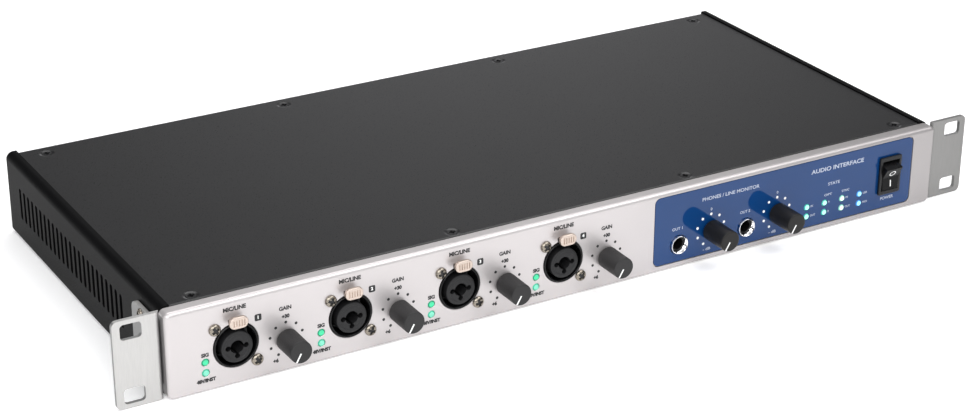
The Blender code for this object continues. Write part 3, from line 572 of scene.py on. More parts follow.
def make_ear(hand, side):
    """Folded zinc bracket: a front plate with two slots and a flange on the housing's side."""
    low, high = box("rack_ear_right")
    front, back = low.y, high.y
    inner, outer = low.x, high.x
    outline = [(inner, back)] + arc((inner + EAR_BEND, front + EAR_BEND), EAR_BEND, 180, 270, 8)
    outline += [(outer, front)]
    ear = folded(outline, low.z, high.z, EAR_SHEET)
    middle = (low.z + high.z) / 2
    trims = []
    for sign in (-1, 1):
        span = sorted((middle + sign * FLANGE_HALF, middle + sign * 40))
        start, end = (inner - 1, front + EAR_SHEET, span[0]), (inner + 8, back + 10, span[1])
        trims.append(cuboid(start, end))
        hole = slab(*RACK_HOLE_HALF, -8, 1, corner=1.8)
        trims.append(moved(hole, at(RACK_HOLE_X, front, middle + sign * RACK_HOLE_RISE) @ ALONG_Y))
        plate_corner = at(outer, front + EAR_SHEET / 2, middle + sign * (high.z - middle))
        trims.append(corner_tool(plate_corner @ ALONG_Y, sign, EAR_CORNER))
        flange_corner = at(inner + EAR_SHEET / 2, back, middle + sign * FLANGE_HALF)
        trims.append(corner_tool(flange_corner @ UPRIGHT_X, sign, FLANGE_CORNER))
    ear = boolean(ear, trims, crossing=True)
    soften(ear, 0.25, 2, 40)

    def is_side(face):
        """The flange and the plate's cut edges at its end and in its slots, which get a darker copy of the
        zinc as painted shade.
        """
        spot = face.calc_center_median()
        aside = abs(spot.x - RACK_HOLE_X)
        above = abs(abs(spot.z - middle) - RACK_HOLE_RISE)
        in_slot = aside < RACK_HOLE_HALF[0] + 0.1 and above < RACK_HOLE_HALF[1] + 0.2
        return abs(face.normal.x) > 0.6 or (in_slot and abs(face.normal.y) < 0.6)

    # The sideways faces and the slot walls take the darker zinc as painted shade.
    mark(ear, is_side)
    piece(f"ear_{hand}", mirrored(ear, side), ZINC, stands_for=[f"rack_ear_{hand}"],
          angle=30, second=ZINC_SIDE_SHADE)
    for level in ("lower", "upper"):
        spot = centre(f"ear_screw_{hand}_{level}")
        place = at(side * (inner + EAR_SHEET + 0.3), spot.y, spot.z)
        place = place @ Matrix.Rotation(side * math.pi / 2, 4, "Y")
        cross_screw(f"flange_screw_{hand}_{level}", place, 2.5, STEEL, dome=1.2,
                    stands_for=[f"ear_screw_{hand}_{level}"])


def corner_tool(place, up, radius):
    """What is cut off a square corner, at local +X and at local +Y or -Y, to round it."""
    reach = 2
    outline = [(0, -radius), (reach, -radius), (reach, reach), (-radius, reach), (-radius, 0)]
    outline += arc((-radius, -radius), radius, 90, 0, 8)[1:-1]
    return prism([(x, up * y) for x, y in outline], -3, 3, place)


# ---- front panel

PANEL_ROUND = 2.4
PANEL_DROP = 0.8
PANEL_CORNER = 2.8
BARREL = 11.0
LAMP_DROP = {"signal": 15.1, "phantom": 9.8}
LAMP_RADIUS = 1.65
LAMP_CORE = 1.3
LAMP_HOLE = LAMP_RADIUS + 0.25
LENS_BACK = -12.5
PHONES_HOLE = 5.2
SHAFT_HOLE = 3.8
HOLE_DEPTH = 9
CHAMFER = 0.15
SEAT_GAP = 0.4
STATE_X = [135.4 + 11.37 * column for column in range(4)]


def lamp_x(channel):
    low, high = box(f"channel_light_pipe_{channel}")
    return (low.x + high.x) / 2


def flared(radius, flare, place, sides=48):
    """A hole's cutter that leaves a small chamfer at the face."""
    rim = radius + flare
    profile = [(0, 1), (rim, 1), (rim, 0), (radius, -flare), (radius, -HOLE_DEPTH), (0, -HOLE_DEPTH)]
    return moved(lathe(profile, sides), place)


def right_holes():
    """The holes through both the panel and the overlay."""
    holes = [flared(LAMP_HOLE, 0.0, on_front(x, z), 24) for x in STATE_X for z in LAMP_DROP.values()]
    holes += [flared(PHONES_HOLE, 0.0, on_front(p.x, p.z)) for p in PHONES_JACKS.values()]
    holes += [flared(SHAFT_HOLE, 0.0, on_front(p.x, p.z)) for p in PHONES_KNOBS.values()]
    low, high = box("power_switch")
    inset = 0.4
    low_end = (low.x + inset, low.z + inset, -HOLE_DEPTH)
    holes.append(moved(cuboid(low_end, (high.x - inset, high.z - inset, 1)), on_front(0, 0)))
    return holes


def make_front_panel():
    """Thick satin panel with a rounded rim, its holes and the seat of the overlay."""
    size = PANEL_HIGH - PANEL_LOW - Vector((0, 0, PANEL_DROP))
    shape = cuboid((-size.x / 2, 0, -size.y), (size.x / 2, size.z, 0), corner=PANEL_CORNER, steps=8)
    rim = [e for e in shape.edges if all(v.co.z > -0.5 for v in e.verts)]
    moved(bevel(shape, rim, PANEL_ROUND, 8), on_front(0, PANEL_LOW.z))
    seat_low = (OVERLAY_LOW.x - SEAT_GAP, OVERLAY_LOW.z - SEAT_GAP, -1)
    seat_high = (OVERLAY_HIGH.x + SEAT_GAP, OVERLAY_HIGH.z + SEAT_GAP, 1)
    shape = boolean(shape, [moved(cuboid(seat_low, seat_high, corner=3.2, steps=10), on_front(0, 0))])
    tools, slots = [], []
    for i in CHANNELS:
        place = on_front(JACKS[i].x, JACKS[i].z)
        tools.append(flared(BARREL + 0.2, CHAMFER, place, 72))
        tools += [flared(LAMP_HOLE, CHAMFER, on_front(lamp_x(i), z), 24) for z in LAMP_DROP.values()]
        tools.append(flared(SHAFT_HOLE, 0.1, on_front(GAINS[i].x, GAINS[i].z)))
        slots.append(moved(cuboid((-3.3, 11, -HOLE_DEPTH), (3.3, 13.25, 1)), place))
    shape = boolean(boolean(shape, tools + right_holes()), slots)
    # The end faces take the darker copy of the finish as painted shade in the gap beside the ears.
    mark(shape, lambda face: abs(face.normal.x) > 0.99)
    piece("panel_plate", shape, PANEL, stands_for=["front_panel"], angle=30,
          second=PANEL_END_SHADE)


def make_overlay():
    """Glossy blue plate, sunk a little into the panel, with a fine pale rim round it."""
    depth = OVERLAY_LOW.y - FACE
    low = (OVERLAY_LOW.x, OVERLAY_LOW.z, -(OVERLAY_HIGH.y - FACE))
    high = (OVERLAY_HIGH.x, OVERLAY_HIGH.z, -depth)
    plate = moved(cuboid(low, high, corner=3.0, edge=0.12, steps=10), on_front(0, 0))
    piece("overlay_gloss", boolean(plate, right_holes()), BLUE,
          stands_for=["overlay_plate"])


# ---- combination jacks

PANEL_BACK = -(PANEL_HIGH.y - PANEL_LOW.y) - 0.3
BARREL_BORE = 9.5
BARREL_FLOOR = -11
INSERT_RADIUS = 7.8
INSERT_OUT = 1.25
INSERT_DROP = 0.6
PLUG_BORE = 3.25
PIN_HOLE = 1.3
PIN_CIRCLE = 4.4
JACK_SCREWS = {"upper": (-10, 10), "lower": (10, -10)}


def make_combo_jack(i):
    """Gloss barrel, matt insert with its bore and three pin holes, and screws."""
    place = on_front(JACKS[i].x, JACKS[i].z)
    barrel = [
        (0, BARREL_FLOOR), (BARREL_BORE, BARREL_FLOOR), (BARREL_BORE, -0.6),
        (BARREL_BORE + 0.5, 0.35), (BARREL_BORE + 0.8, 0.55),
        (BARREL - 0.4, 0.6), (BARREL - 0.1, 0.4), (BARREL, 0.1),
        (BARREL, PANEL_BACK - 1), (0, PANEL_BACK - 5),
    ]
    body = slab(13, 15, -30, PANEL_BACK - 4, corner=1, edge=0.3)
    whole = gathered([lathe(barrel, 72), body])
    piece(f"jack_barrel_{i}", whole, GLOSS_BLACK, stands_for=[f"combo_jack_{i}"], place=place)
    insert = lathe([
        (0, INSERT_OUT - 0.15), (INSERT_RADIUS - 1.9, INSERT_OUT - 0.15),
        (INSERT_RADIUS - 1.7, INSERT_OUT), (INSERT_RADIUS - 0.7, INSERT_OUT),
        (INSERT_RADIUS - 0.2, INSERT_OUT - 0.2), (INSERT_RADIUS, INSERT_OUT - 0.7),
        (INSERT_RADIUS, BARREL_FLOOR + 0.05), (0, BARREL_FLOOR + 0.05),
    ], 64)
    bore = drum(PLUG_BORE, -10, INSERT_OUT + 1)
    holes = [drum(PIN_HOLE, -9, INSERT_OUT + 1, 24, at(PIN_CIRCLE * x, PIN_CIRCLE * y, 0))
             for x, y in ((1, 0), (-1, 0), (0, -1))]
    insert = boolean(insert, [bore] + holes, crossing=True)
    piece(f"jack_insert_{i}", insert, INSERT, place=place @ at(0, -INSERT_DROP, 0))
    for name, (x, y) in JACK_SCREWS.items():
        screw_place = place @ at(x, y, 0.3) @ Matrix.Rotation(0.6 * i, 4, "Z")
        cross_screw(f"jack_screw_{name}_{i}", screw_place, 2.9, STEEL, dome=1.55)


def make_release_tab(i):
    """Pressed metal tab: an oval head with fine grip grooves in its face, on a flat stem."""
    low, high = box(f"release_tab_{i}")
    middle = (low + high) / 2
    place = on_front(middle.x, middle.z)
    half_x, half_z = (high.x - low.x) / 2, (high.z - low.z) / 2
    top = FACE - low.y
    bottom = top - 1.9
    head = cuboid((-half_x, -half_z, bottom), (half_x, half_z, top), corner=2.75, edge=0.45)
    grooves = [moved(slab(0.3, 1.6, -0.5, 1, corner=0.25, steps=3), at(1.3 * step, 0, top))
               for step in range(-2, 3)]
    stem = cuboid((-2.8, -1.35, -10.5), (2.8, -0.1, bottom + 1))
    piece(f"tab_{i}", union(boolean(head, grooves), stem), NICKEL, f"release_{i}",
          stands_for=[f"release_tab_{i}"], place=place)


# ---- knobs

POINTER_ANGLE = math.radians(-150)
KNOB_EDGE = 0.6
KNOB_BORE = 3.3
LINE_HALF = 0.45


def make_knob(name, node, body, material):
    """Slim round knob with a soft front edge and a white line inlaid from its middle to its rim."""
    low, high = box(node)
    middle = (low + high) / 2
    place = on_front(middle.x, middle.z)
    pointer = Matrix.Rotation(-POINTER_ANGLE, 4, "Z")
    tip, base = FACE - low.y, FACE - high.y
    radius = (high.x - low.x) / 2
    waist = radius * 0.99
    bend = (waist - KNOB_EDGE, tip - KNOB_EDGE)
    profile = [(0, tip), (waist - 2 * KNOB_EDGE, tip)] + arc(bend, KNOB_EDGE, 80, 0, 7)
    profile += [(radius, base + 0.4), (radius - 0.3, base)]
    profile += [(KNOB_BORE, base), (KNOB_BORE, base + 2), (0, base + 2)]
    line = cuboid((-LINE_HALF, 0.4, tip - 0.35), (LINE_HALF, radius + 1, tip + 1))
    tail = cuboid((-LINE_HALF, waist - 0.3, tip - 2.2), (LINE_HALF, radius + 1, tip))
    shell = boolean(lathe(profile, 72), [moved(union(line, tail), pointer)])
    piece(name, shell, material, body, stands_for=[node], place=place, angle=25)
    core = [(0, tip - 0.12), (bend[0], tip - 0.12)]
    core += [(r - 0.14, z) for r, z in arc(bend, KNOB_EDGE, 75, 0, 6)]
    core += [(waist - 0.12, tip - 2.3), (0, tip - 2.3)]
    clip = cuboid((-0.44, 0.41, tip - 2.15), (0.44, radius + 1, tip + 1))
    inlay = boolean(lathe(core, 72), [moved(clip, pointer)], "INTERSECT")
    piece(f"{name}_line", inlay, WHITE_INK, body, place=place, angle=25)


# ---- lamps


def make_lenses(name, material, spots, node, bar=True):
    """Domed lenses; the bar that joins them lies behind the panel."""
    low, high = box(node)
    dome = FACE - low.y
    shoulder = dome - 0.16
    recess_shade_disc = [(0, dome), (0.5, dome - 0.03), (LAMP_CORE, shoulder), (LAMP_CORE, 0), (0, 0)]
    tube = [(LAMP_CORE, dome - 0.17), (1.45, dome - 0.3), (LAMP_RADIUS, dome - 0.6),
            (LAMP_RADIUS, LENS_BACK), (LAMP_CORE, LENS_BACK)]
    core = [moved(lathe(recess_shade_disc, 32), on_front(x, z)) for x, z in spots]
    rim = [moved(lathe(tube, 32, ring=True), on_front(x, z)) for x, z in spots]
    if bar:
        rim.append(cuboid((low.x, high.y - 2, low.z), (high.x, high.y, high.z), edge=0.2))
    middle, edge = material
    piece(f"{name}_rims", gathered(rim), edge, stands_for=[node] if bar else ())
    piece(f"{name}_cores", gathered(core), middle)


# ---- phones jacks


def make_phones_jack(i):
    """Chrome ring nut with two grip notches round a black bore."""
    place = on_front(PHONES_JACKS[i].x, PHONES_JACKS[i].z)
    ring = lathe([(3.55, -1), (3.7, -0.3), (4.35, 0.9), (4.55, 1.15), (4.75, 1.1), (4.95, 0.7),
                   (4.95, -9), (3.55, -9)], 64, ring=True)
    turns = [Matrix.Rotation(math.radians(angle), 4, "Z") for angle in (-35, 145)]
    ring = boolean(ring, [moved(slab(0.8, 0.6, -0.6, 2), turn @ at(3.8, 0, 0)) for turn in turns])
    piece(f"jack_ring_{i}", ring, CHROME, place=place, stands_for=[f"phones_jack_{i}"])
    body = union(slab(6.5, 7.5, -30, PANEL_BACK), drum(3.9, PANEL_BACK - 1, -1.2))
    body = boolean(body, [drum(3.15, -27, 1)])
    piece(f"jack_body_{i}", body, PLASTIC, place=place)


# ---- power switch

ROCKER_HALF_WIDTH = 5.2
WELL_HALF = 8.4
PIVOT = -2.5
ROCKER_TILT = math.radians(13)
ROCKER_VALLEY = 4.3
ROCKER_TIP = (6.5, 6.4)
ROCKER_HEEL = (7.4, 0.4)
ROCKER_KEEL = (2.6, -3.2)


def make_switch():
    """Black bezel round a rocker whose lower half is pressed in."""
    low, high = box("power_switch")
    place = on_front((low.x + high.x) / 2, (low.z + high.z) / 2)
    half_x, half_z = (high.x - low.x) / 2, (high.z - low.z) / 2
    face = FACE - low.y
    bezel = cuboid((-half_x, -half_z, 0.2), (half_x, half_z, face), corner=0.9, edge=0.35)
    inset = 0.8
    body = cuboid((-half_x + inset, -half_z + inset, -22), (half_x - inset, half_z - inset, 1))
    well_x = ROCKER_HALF_WIDTH + 0.3
    well = cuboid((-well_x, -WELL_HALF, -9), (well_x, WELL_HALF, 4), corner=0.3, steps=2)
    piece("switch_bezel", boolean(union(bezel, body), [well]), PLASTIC, place=place,
          stands_for=["power_switch"])
    make_rocker(place @ at(0, 0, PIVOT) @ Matrix.Rotation(ROCKER_TILT, 4, "X"))


def make_rocker(place):
    """Rocker like a wide V, with a white ring on its upper face and a bar on its lower one."""
    corners = (ROCKER_TIP, ROCKER_HEEL, ROCKER_KEEL)
    outline = [ROCKER_TIP, (0, ROCKER_VALLEY)] + [(-y, z) for y, z in corners] + [ROCKER_KEEL, ROCKER_HEEL]
    rocker = soften(prism(outline, -ROCKER_HALF_WIDTH, ROCKER_HALF_WIDTH, ALONG_X), 0.35, 3, 15)
    piece("rocker_key", rocker, ROCKER_BLACK, "rocker", place=place, stands_for=["power_rocker"])
    slope = math.atan2(ROCKER_TIP[1] - ROCKER_VALLEY, ROCKER_TIP[0])
    middle = place @ at(0, 0, ROCKER_VALLEY)
    ring = lathe([(1.4, 0.05), (1.9, 0.05), (1.9, -0.05), (1.4, -0.05)], 40, ring=True)
    bar = slab(0.3, 1.8, -0.05, 0.05)
    for name, shape, tilt, y in (("off", ring, slope, 3.0), ("on", bar, -slope, -3.4)):
        piece(f"rocker_mark_{name}", shape, WHITE_INK, "rocker",
              place=middle @ Matrix.Rotation(tilt, 4, "X") @ at(0, y, 0))


# ---- print

INK = 0.03
CAP_SHARE = 0.72
SCALE_RADIUS = 8.35
DOT_RADIUS = 0.72
DOT_STEP = 37.5
NUMBER_X = 11.25
NUMBER_Z = 31
FINE = 0.015
STATE_NAMES = (("IN", "OUT"), ("A", "B"), ("IN", "OUT"), ("USB", "MIDI"))


def lettering(text, x, z, height, width=None, align="CENTER", out=0.0, weight=0.04, side=on_front):
    """Flat letters with the given capital height, drawn to the given width."""
    curve = bpy.data.curves.new("letters", "FONT")
    curve.body = text
    curve.size = height / CAP_SHARE
    curve.align_x = align
    curve.align_y = "CENTER"
    curve.extrude = INK / 2
    curve.offset = weight * curve.size
    curve.resolution_u = 4
    made = placed("letters", curve)
    graph = bpy.context.evaluated_depsgraph_get()
    graph.update()
    mesh = bpy.data.meshes.new_from_object(made.evaluated_get(graph))
    bpy.data.objects.remove(made)
    shape = bmesh.new()
    shape.from_mesh(mesh)
    bpy.data.meshes.remove(mesh)
    if width:
        across = [v.co.x for v in shape.verts]
        bmesh.ops.scale(shape, vec=(width / (max(across) - min(across)), 1, 1), verts=shape.verts)
    return moved(shape, side(x, z, out + INK / 2))


def scale_dots(place):
    """Nine dots round a knob, from the minimum mark to the maximum."""
    dots = []
    for step in range(9):
        angle = POINTER_ANGLE + math.radians(DOT_STEP * step)
        spot = at(SCALE_RADIUS * math.sin(angle), SCALE_RADIUS * math.cos(angle), INK / 2)
        dots.append(drum(DOT_RADIUS, -INK / 2, INK / 2, 20, place @ spot))
    return dots


def make_panel_print():
    """Black print on the satin panel: generic function names, scales and channel numbers."""
    shapes, numbers = [], []
    for i in CHANNELS:
        jack, gain, lamp_spot = JACKS[i].x, GAINS[i].x, lamp_x(i)
        # Text, place along X, height, capital height, width and weight
        labels = (
            ("MIC/LINE", jack, 38.4, 2.0, 11.2, 0.05), ("GAIN", gain, 32.25, 1.9, 6.2, 0.05),
            ("+30", gain, 28.1, 1.75, 3.9, 0.07), ("+6", gain - 5.6, 6.6, 1.75, 2.7, 0.07),
            ("SIG", lamp_spot, 18.7, 1.8, 3.7, 0.06), ("48V/INST", lamp_spot, 5.9, 1.7, 9.4, 0.07),
        )
        for text, x, z, height, width, weight in labels:
            shapes.append(lettering(text, x, z, height, width, weight=weight))
        shapes += scale_dots(on_front(gain, GAINS[i].z))
        square = cuboid((-1.7, -1.7, 0), (1.7, 1.7, INK), corner=0.7, steps=4)
        shapes.append(moved(square, on_front(jack + NUMBER_X, NUMBER_Z)))
        numbers.append(lettering(str(i), jack + NUMBER_X, NUMBER_Z, 1.6, out=INK))
    piece("panel_print_black", gathered(shapes), BLACK_INK)
    piece("panel_print_numbers", gathered(numbers), WHITE_INK)


def make_overlay_print():
    """White print on the overlay: generic function names and scales."""
    out = FACE - OVERLAY_LOW.y
    # Text, place along X, height, capital height, width and weight
    labels = [
        ("PHONES / LINE MONITOR", 86.5, 34.1, 1.9, 35, FINE), ("POWER", SWITCH.x, 8.9, 1.7, 8.6, FINE),
        ("AUDIO INTERFACE", 154, 34.1, 2.3, 34, 0.02), ("STATE", 152.1, 25.2, 1.6, 7.6, FINE),
        ("OPT", STATE_X[1] + 2, 19.3, 1.3, 5, FINE), ("SYNC", STATE_X[2] + 2, 19.3, 1.3, 5, FINE),
    ]
    shapes, dots = [], []
    for i in PHONES:
        knob, jack = PHONES_KNOBS[i], PHONES_JACKS[i]
        dots += scale_dots(on_front(knob.x, knob.z, out))
        shapes.append(lettering("0", knob.x, 27.9, 1.5, out=out, weight=FINE))
        labels.append(("- dB", knob.x - 2, 6.3, 1.5, 4.6, FINE))
        labels.append((f"OUT {i}", jack.x - 1, 21.6, 1.5, 6.2, FINE))
    for text, x, z, height, width, weight in labels:
        shapes.append(lettering(text, x, z, height, width, out=out, weight=weight))
    for x, pair in zip(STATE_X, STATE_NAMES):
        for z, text in zip(LAMP_DROP.values(), pair):
            shapes.append(lettering(text, x + 2.3, z, 1.15, align="LEFT", out=out, weight=FINE))
    piece("overlay_print", gathered(shapes), PALE_INK)
    piece("overlay_dots", gathered(dots), WHITE_INK)


# ---- rear connectors

LINE_SPOTS = [((column - 1.5) * 16, row * 9) for column in range(4) for row in (-1, 1)]
CLOCK_SPOTS = (-8, 8)
OPTICAL_SPOTS = [(x * 7.2, y * 6.2) for x in (-1, 1) for y in (-1, 1)]
BLADE_SPOTS = ((-7, -2), (0, 1.5), (7, -2))
REAR_SCREWS = [(x, z) for x in (-207, 207) for z in (8, 33)]
# Half sizes of the rear panel's square openings
SQUARE_HOLES = {"computer_ports": (17.2, 6.7), "optical_ports": (15.2, 13.2), "mains_inlet": (14, 10)}
# Each computer socket's place along X, and the half sizes of its shell and of its tongue
COMPUTER_SOCKETS = ((-11.1, 4.4, 4.2, 2.6, 1.4), (-1.6, 2.6, 5, 0.8, 3.4), (9.2, 2.6, 5, 0.8, 3.4))
PIN_SPOTS = [(4 * math.cos(a), 4 * math.sin(a)) for a in map(math.radians, (210, 330, 90))]


def on_node(node):
    middle = centre(node)
    return on_rear(middle.x, middle.z)


def make_rear_plate():
    """Coated sheet with its openings, and a screw in each corner."""
    depth = -3
    holes = []
    for node in ("line_output_jacks", "line_input_jacks"):
        holes += [drum(5.4, depth, 1, 40, on_node(node) @ at(x, y, 0)) for x, y in LINE_SPOTS]
    for node in ("digital_input", "digital_output"):
        holes.append(drum(12.1, depth, 1, 56, on_node(node)))
    holes += [drum(5.1, depth, 1, 32, on_node("word_clock") @ at(x, 0, 0)) for x in CLOCK_SPOTS]
    holes += [moved(slab(x, y, -3, 1), on_node(node)) for node, (x, y) in SQUARE_HOLES.items()]
    sheet = cuboid(*box("rear_panel"))
    piece("rear_plate", boolean(sheet, holes), COAT, stands_for=["rear_panel"])
    for k, (x, z) in enumerate(REAR_SCREWS):
        cross_screw(f"rear_screw_{k + 1}", on_rear(x, z), 2.6, BLACK_STEEL)


def make_line_jacks(node):
    """Eight plug sockets: notched ring nuts, with a steel sleeve in each bore."""
    place = on_node(node)
    bores = [drum(3.3, -24, 0, 32, at(x, y, 0)) for x, y in LINE_SPOTS]
    shapes = [moved(boolean(slab(33, 16.5, -27, -1.9), bores), place)]
    sleeves = []
    nut = [(3.4, -2), (3.4, 2.7), (3.7, 3), (4.7, 3), (5.2, 2.5), (5.2, -1.7), (5, -2)]
    sleeve = [(3.15, -9), (3.15, 1.9), (3.38, 2.1), (3.38, -9)]
    for x, y in LINE_SPOTS:
        notched = boolean(lathe(nut, 40, ring=True), [slab(0.7, 6, 1.9, 4)])
        shapes.append(moved(notched, place @ at(x, y, 0)))
        sleeves.append(moved(lathe(sleeve, 32, ring=True), place @ at(x, y, 0)))
    piece(f"{node}_nuts", gathered(shapes), PLASTIC, stands_for=[node])
    piece(f"{node}_sleeves", gathered(sleeves), SHAFT)


def make_round_connector(node, male):
    """Three-pole connector behind a square flange that two screws hold."""
    place = on_node(node)
    flange = slab(13, 15.5, 0.3, 1.8, corner=2, edge=0.3)
    shell = [(0, -14), (9.6, -14), (9.6, 1.6), (10, 2), (11.4, 2), (11.8, 1.6), (11.8, -22), (0, -22)]
    shapes = [boolean(flange, [drum(10.6, -1, 3, 64)]), lathe(shell, 64)]
    if male:
        pin = [(0, -1), (0.7, -1.1), (1.1, -1.6), (1.2, -2.2), (1.2, -15), (0, -15)]
        pins = [moved(lathe(pin, 20), place @ at(x, y, 0)) for x, y in PIN_SPOTS]
        piece(f"{node}_pins", gathered(pins), SHAFT)
        shapes.append(moved(slab(1.2, 0.6, -14, 0.6, edge=0.2), at(0, -9.2, 0)))
    else:
        core = lathe([(0, 1.5), (7.3, 1.5), (7.8, 1), (7.8, -15), (0, -15)], 56)
        hole = [(0, 3), (2.1, 2), (1.5, 0.9), (1.5, -10), (0, -10)]
        shapes.append(boolean(core, [moved(lathe(hole, 20), at(x, y, 0)) for x, y in PIN_SPOTS]))
    piece(f"{node}_shell", gathered(shapes), PLASTIC, stands_for=[node], place=place)
    for k, turn in enumerate((1, -1)):
        spot = place @ at(-9.7 * turn, 12.2 * turn, 1.8)
        cross_screw(f"{node}_screw_{k + 1}", spot, 2.4, BLACK_STEEL, dome=0.8)


def make_word_clock():
    """Two bayonet sockets with hexagon nuts, white insulators and centre contacts."""
    place = on_node("word_clock")
    tip = (box("word_clock")[1].y - REAR)
    barrel = [(0, tip - 6), (3.7, tip - 6), (3.7, tip - 0.3), (4, tip), (4.5, tip), (4.8, tip - 0.3),
              (4.8, 7.2), (4.45, 7)]
    barrel += [(4.75 if k % 2 else 4.4, 6.7 - 0.3 * k) for k in range(16)] + [(4.4, -3), (0, -3)]
    insulator = [(0.8, tip - 6.1), (0.8, tip - 1.7), (2.9, tip - 1.7), (3.1, tip - 2), (3.1, tip - 6.1)]
    contact = [(0.4, tip - 6), (0.4, tip - 1.9), (0.78, tip - 1.9), (0.78, tip - 6)]
    across = at(0, 0, tip - 8.5) @ Matrix.Rotation(math.pi / 2, 4, "Y")
    metal = [moved(slab(14, 7, -12, -1.9), place)]
    white = []
    for x in CLOCK_SPOTS:
        spot = place @ at(x, 0, 0)
        metal.append(moved(lathe(barrel, 48), spot))
        metal.append(moved(soften(drum(6.6, 0.3, 2.4, 6), 0.25), spot))
        metal.append(moved(soften(drum(1, -6, 6, 20), 0.2), spot @ across))
        metal.append(moved(lathe(contact, 20, ring=True), spot))
        white.append(moved(lathe(insulator, 32, ring=True), spot))
    piece("clock_sockets", gathered(metal), SHAFT, stands_for=["word_clock"])
    piece("clock_insulators", gathered(white), WHITE_PLASTIC)


def make_optical_ports():
    """Four optical sockets, each a square recess behind a hinged shutter with a round boss."""
    place = on_node("optical_ports")
    recesses = [moved(slab(4.2, 4.2, -1.2, 1, corner=0.5), at(x, y, 0)) for x, y in OPTICAL_SPOTS]
    block = boolean(slab(15, 13, -14, 0.6, corner=0.8, edge=0.25), recesses)
    piece("optical_block", block, PLASTIC, stands_for=["optical_ports"], place=place)
    shutters = []
    for x, y in OPTICAL_SPOTS:
        shutters.append(moved(slab(3.8, 3.5, -1.3, -0.75, corner=0.4, edge=0.15), at(x, y - 0.3, 0)))
        shutters.append(moved(lathe([(0, -0.35), (1.5, -0.4), (1.9, -0.8), (0, -0.8)], 32), at(x, y, 0)))
    piece("optical_shutters", gathered(shutters), INSERT, place=place)


def make_computer_ports():
    """One square and two upright metal-shelled sockets in a black plate, with their contact tongues."""
    place = on_node("computer_ports")
    wall = 0.35
    wells, shells, tongues = [], [], []
    for x, half_x, half_y, tongue_x, tongue_y in COMPUTER_SOCKETS:
        spot = at(x, 0, 0)
        wells.append(moved(slab(half_x, half_y, -9, 1), spot))
        outer = slab(half_x, half_y, -8.9, 0.5, corner=0.9)
        inner = slab(half_x - wall, half_y - wall, -10, 1, corner=0.6)
        shells.append(moved(boolean(outer, [inner]), spot))
        tongues.append(moved(slab(tongue_x, tongue_y, -9.1, -1, edge=0.2), spot))
    block = boolean(slab(17, 6.5, -16, 0.25, corner=0.6, edge=0.2), wells)
    piece("ports_block", block, PLASTIC, stands_for=["computer_ports"], place=place)
    piece("ports_shells", gathered(shells), SHAFT, place=place)
    piece("ports_tongues", gathered(tongues), INSERT, place=place)


def make_mains_inlet():
    """Appliance inlet: a well with two cut corners and three flat blades."""
    place = on_node("mains_inlet")
    mouth = [(-12, -8), (12, -8), (12, 4.4), (8.4, 8), (-8.4, 8), (-12, 4.4)]
    well = prism(mouth, -15, 4)
    body = union(slab(15.5, 12, 0.3, 2.5, corner=2, edge=0.4), slab(13.8, 9.8, -24, 1))
    blades = [moved(slab(1, 2, -16, 0, edge=0.4), at(x, y, 0)) for x, y in BLADE_SPOTS]
    piece("inlet_body", boolean(body, [well]), PLASTIC, stands_for=["mains_inlet"], place=place)
    piece("inlet_blades", gathered(blades), SHAFT, place=place)


LINE_NAMES = {"line_output_jacks": "LINE OUT", "line_input_jacks": "LINE IN"}
REAR_NAMES = {
    "computer_ports": "COMPUTER", "optical_ports": "OPTICAL", "word_clock": "CLOCK",
    "digital_output": "DIGITAL OUT", "digital_input": "DIGITAL IN", "mains_inlet": "MAINS",
}


def make_rear_print():
    """White names and numbers over the connectors."""
    shapes = []
    top, small, big = 38.2, 1.6, 1.9
    for node, text in LINE_NAMES.items():
        middle = centre(node)
        shapes.append(lettering(text, middle.x, top, big, side=on_rear))
        for number, (x, y) in enumerate(LINE_SPOTS):
            z = middle.z + math.copysign(2.0, y)
            shapes.append(lettering(str(number + 1), middle.x - x, z, small, side=on_rear))
    for node, text in REAR_NAMES.items():
        shapes.append(lettering(text, centre(node).x, top, small, side=on_rear))
    piece("rear_print", gathered(shapes), WHITE_INK)


make_cover()
for hand, side in (("left", -1), ("right", 1)):
    make_side_wall(hand, side)
    make_ear(hand, side)
make_front_panel()
make_overlay()
for i in CHANNELS:
    make_combo_jack(i)
    make_release_tab(i)
    make_knob(f"gain_cap_{i}", f"gain_knob_{i}", f"gain_control_{i}", GREY_KNOB)
    pipe = f"channel_light_pipe_{i}"
    make_lenses(f"signal_lens_{i}", GREEN, [(lamp_x(i), LAMP_DROP["signal"])], pipe)
    make_lenses(f"phantom_lens_{i}", AQUA, [(lamp_x(i), LAMP_DROP["phantom"])], pipe, bar=False)
for i in PHONES:
    make_phones_jack(i)
    make_knob(f"phones_cap_{i}", f"phones_knob_{i}", f"phones_control_{i}", BLACK_KNOB)
for columns, material, name in (((0, 1), TEAL, "teal"), ((2,), WHITE_LAMP, "white"), ((3,), CYAN, "cyan")):
    spots = [(STATE_X[c], z) for c in columns for z in LAMP_DROP.values()]
    make_lenses(f"state_lenses_{name}", material, spots, "state_light_pipe", bar=name == "teal")
make_switch()
make_panel_print()
make_overlay_print()
make_rear_plate()
for node in LINE_NAMES:
    make_line_jacks(node)
make_round_connector("digital_input", male=False)
make_round_connector("digital_output", male=True)
make_word_clock()
make_optical_ports()
make_computer_ports()
make_mains_inlet()
make_rear_print()


# ---- floor, light and camera

CAMERA_AZIMUTH = math.radians(30.26)
CAMERA_ELEVATION = math.radians(24.64)
CAMERA_ROLL = math.radians(0.24)
CAMERA_DISTANCE = 1.086
CAMERA_AIM = Vector((-0.0386, -0.0769, 0.0435))
CAMERA_LENS = 82.97

# The backdrop's azimuth from +Y and its elevation, and how its tone falls off round it
BACKDROP = (29.5, 5)
ROOM_TONES = ((0.0, 0.26), (0.6, 0.065), (0.92, 0.05), (0.955, 0.13), (0.98, 0.34), (1.0, 0.75))


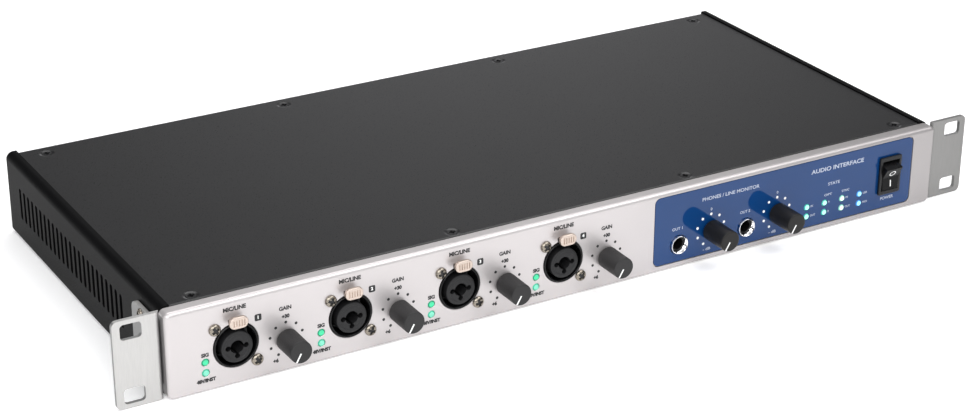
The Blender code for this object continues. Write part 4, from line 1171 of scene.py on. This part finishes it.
def make_camera():
    """Stands in front of the left end, looking down on the cover."""
    turn, rise = CAMERA_AZIMUTH, CAMERA_ELEVATION
    back = Vector((-math.sin(turn) * math.cos(rise), -math.cos(turn) * math.cos(rise), math.sin(rise)))
    data = bpy.data.cameras.new("camera")
    data.lens = CAMERA_LENS
    data.sensor_width = 36.0
    data.clip_start = 0.01
    data.clip_end = 50.0
    camera = placed("camera", data)
    camera.location = CAMERA_AIM + back * CAMERA_DISTANCE
    aim = (-back).to_track_quat("-Z", "Y")
    camera.rotation_mode = "QUATERNION"
    camera.rotation_quaternion = aim @ Matrix.Rotation(CAMERA_ROLL, 3, "Z").to_quaternion()
    bpy.context.scene.camera = camera


def make_floor():
    shape = bmesh.new()
    bmesh.ops.create_grid(shape, x_segments=8, y_segments=8, size=6.0)
    mesh = bpy.data.meshes.new("floor")
    shape.to_mesh(mesh)
    shape.free()
    paper, tree, shader = shader_of("white_paper", (0.93, 0.93, 0.93), 0.8, Emission_Strength=0.2)
    shader.inputs["Emission Color"].default_value = (1, 1, 1, 1)
    tinted(tree, shader, noise(tree, 3, 2.0), (0.92, 0.92, 0.925), (0.94, 0.94, 0.94))
    mesh.materials.append(paper)
    floor = placed("floor", mesh)
    floor.location = (0, 0, -0.2 * MM)


def make_light(name, location, aim, size, power):
    data = bpy.data.lights.new(name, "AREA")
    data.shape = "RECTANGLE"
    data.size, data.size_y = size
    data.energy = power
    light = placed(name, data)
    light.location = location
    light.rotation_mode = "QUATERNION"
    light.rotation_quaternion = (Vector(aim) - Vector(location)).to_track_quat("-Z", "Y")


def make_world():
    """Dim room with a pale backdrop, brightest low down behind the device."""
    world = bpy.data.worlds.new("room")
    world.use_nodes = True
    tree = world.node_tree
    place = add(tree, "TexCoord")
    side = add(tree, "VectorMath")
    side.operation = "DOT_PRODUCT"
    azimuth, elevation = map(math.radians, BACKDROP)
    flat = math.cos(elevation)
    side.inputs[1].default_value = (math.sin(azimuth) * flat, math.cos(azimuth) * flat, math.sin(elevation))
    ramp = add(tree, "ValToRGB")
    for _ in ROOM_TONES[2:]:
        ramp.color_ramp.elements.new(0.5)
    for element, (position, tone) in zip(ramp.color_ramp.elements, ROOM_TONES):
        element.position = position
        element.color = (tone, tone, tone * 1.02, 1.0)
    tree.links.new(place.outputs["Generated"], side.inputs[0])
    tree.links.new(side.outputs["Value"], ramp.inputs["Fac"])
    tree.links.new(ramp.outputs["Color"], tree.nodes["Background"].inputs["Color"])
    tree.nodes["Background"].inputs["Strength"].default_value = 2.0
    bpy.context.scene.world = world


make_camera()
make_floor()
make_world()
make_light("key_left", (-0.75, -0.95, 0.8), (-0.2, -0.25, 0), (1.5, 1.0), 15)
make_light("soft_top_right", (0.7, -0.75, 1.45), (0, 0, 0), (1.4, 0.8), 14)
make_light("back_top", (0.5, 1.1, 2.3), (0.5, 1.0, 0), (2.4, 1.6), 34)
bpy.context.scene.view_settings.view_transform = "Standard"
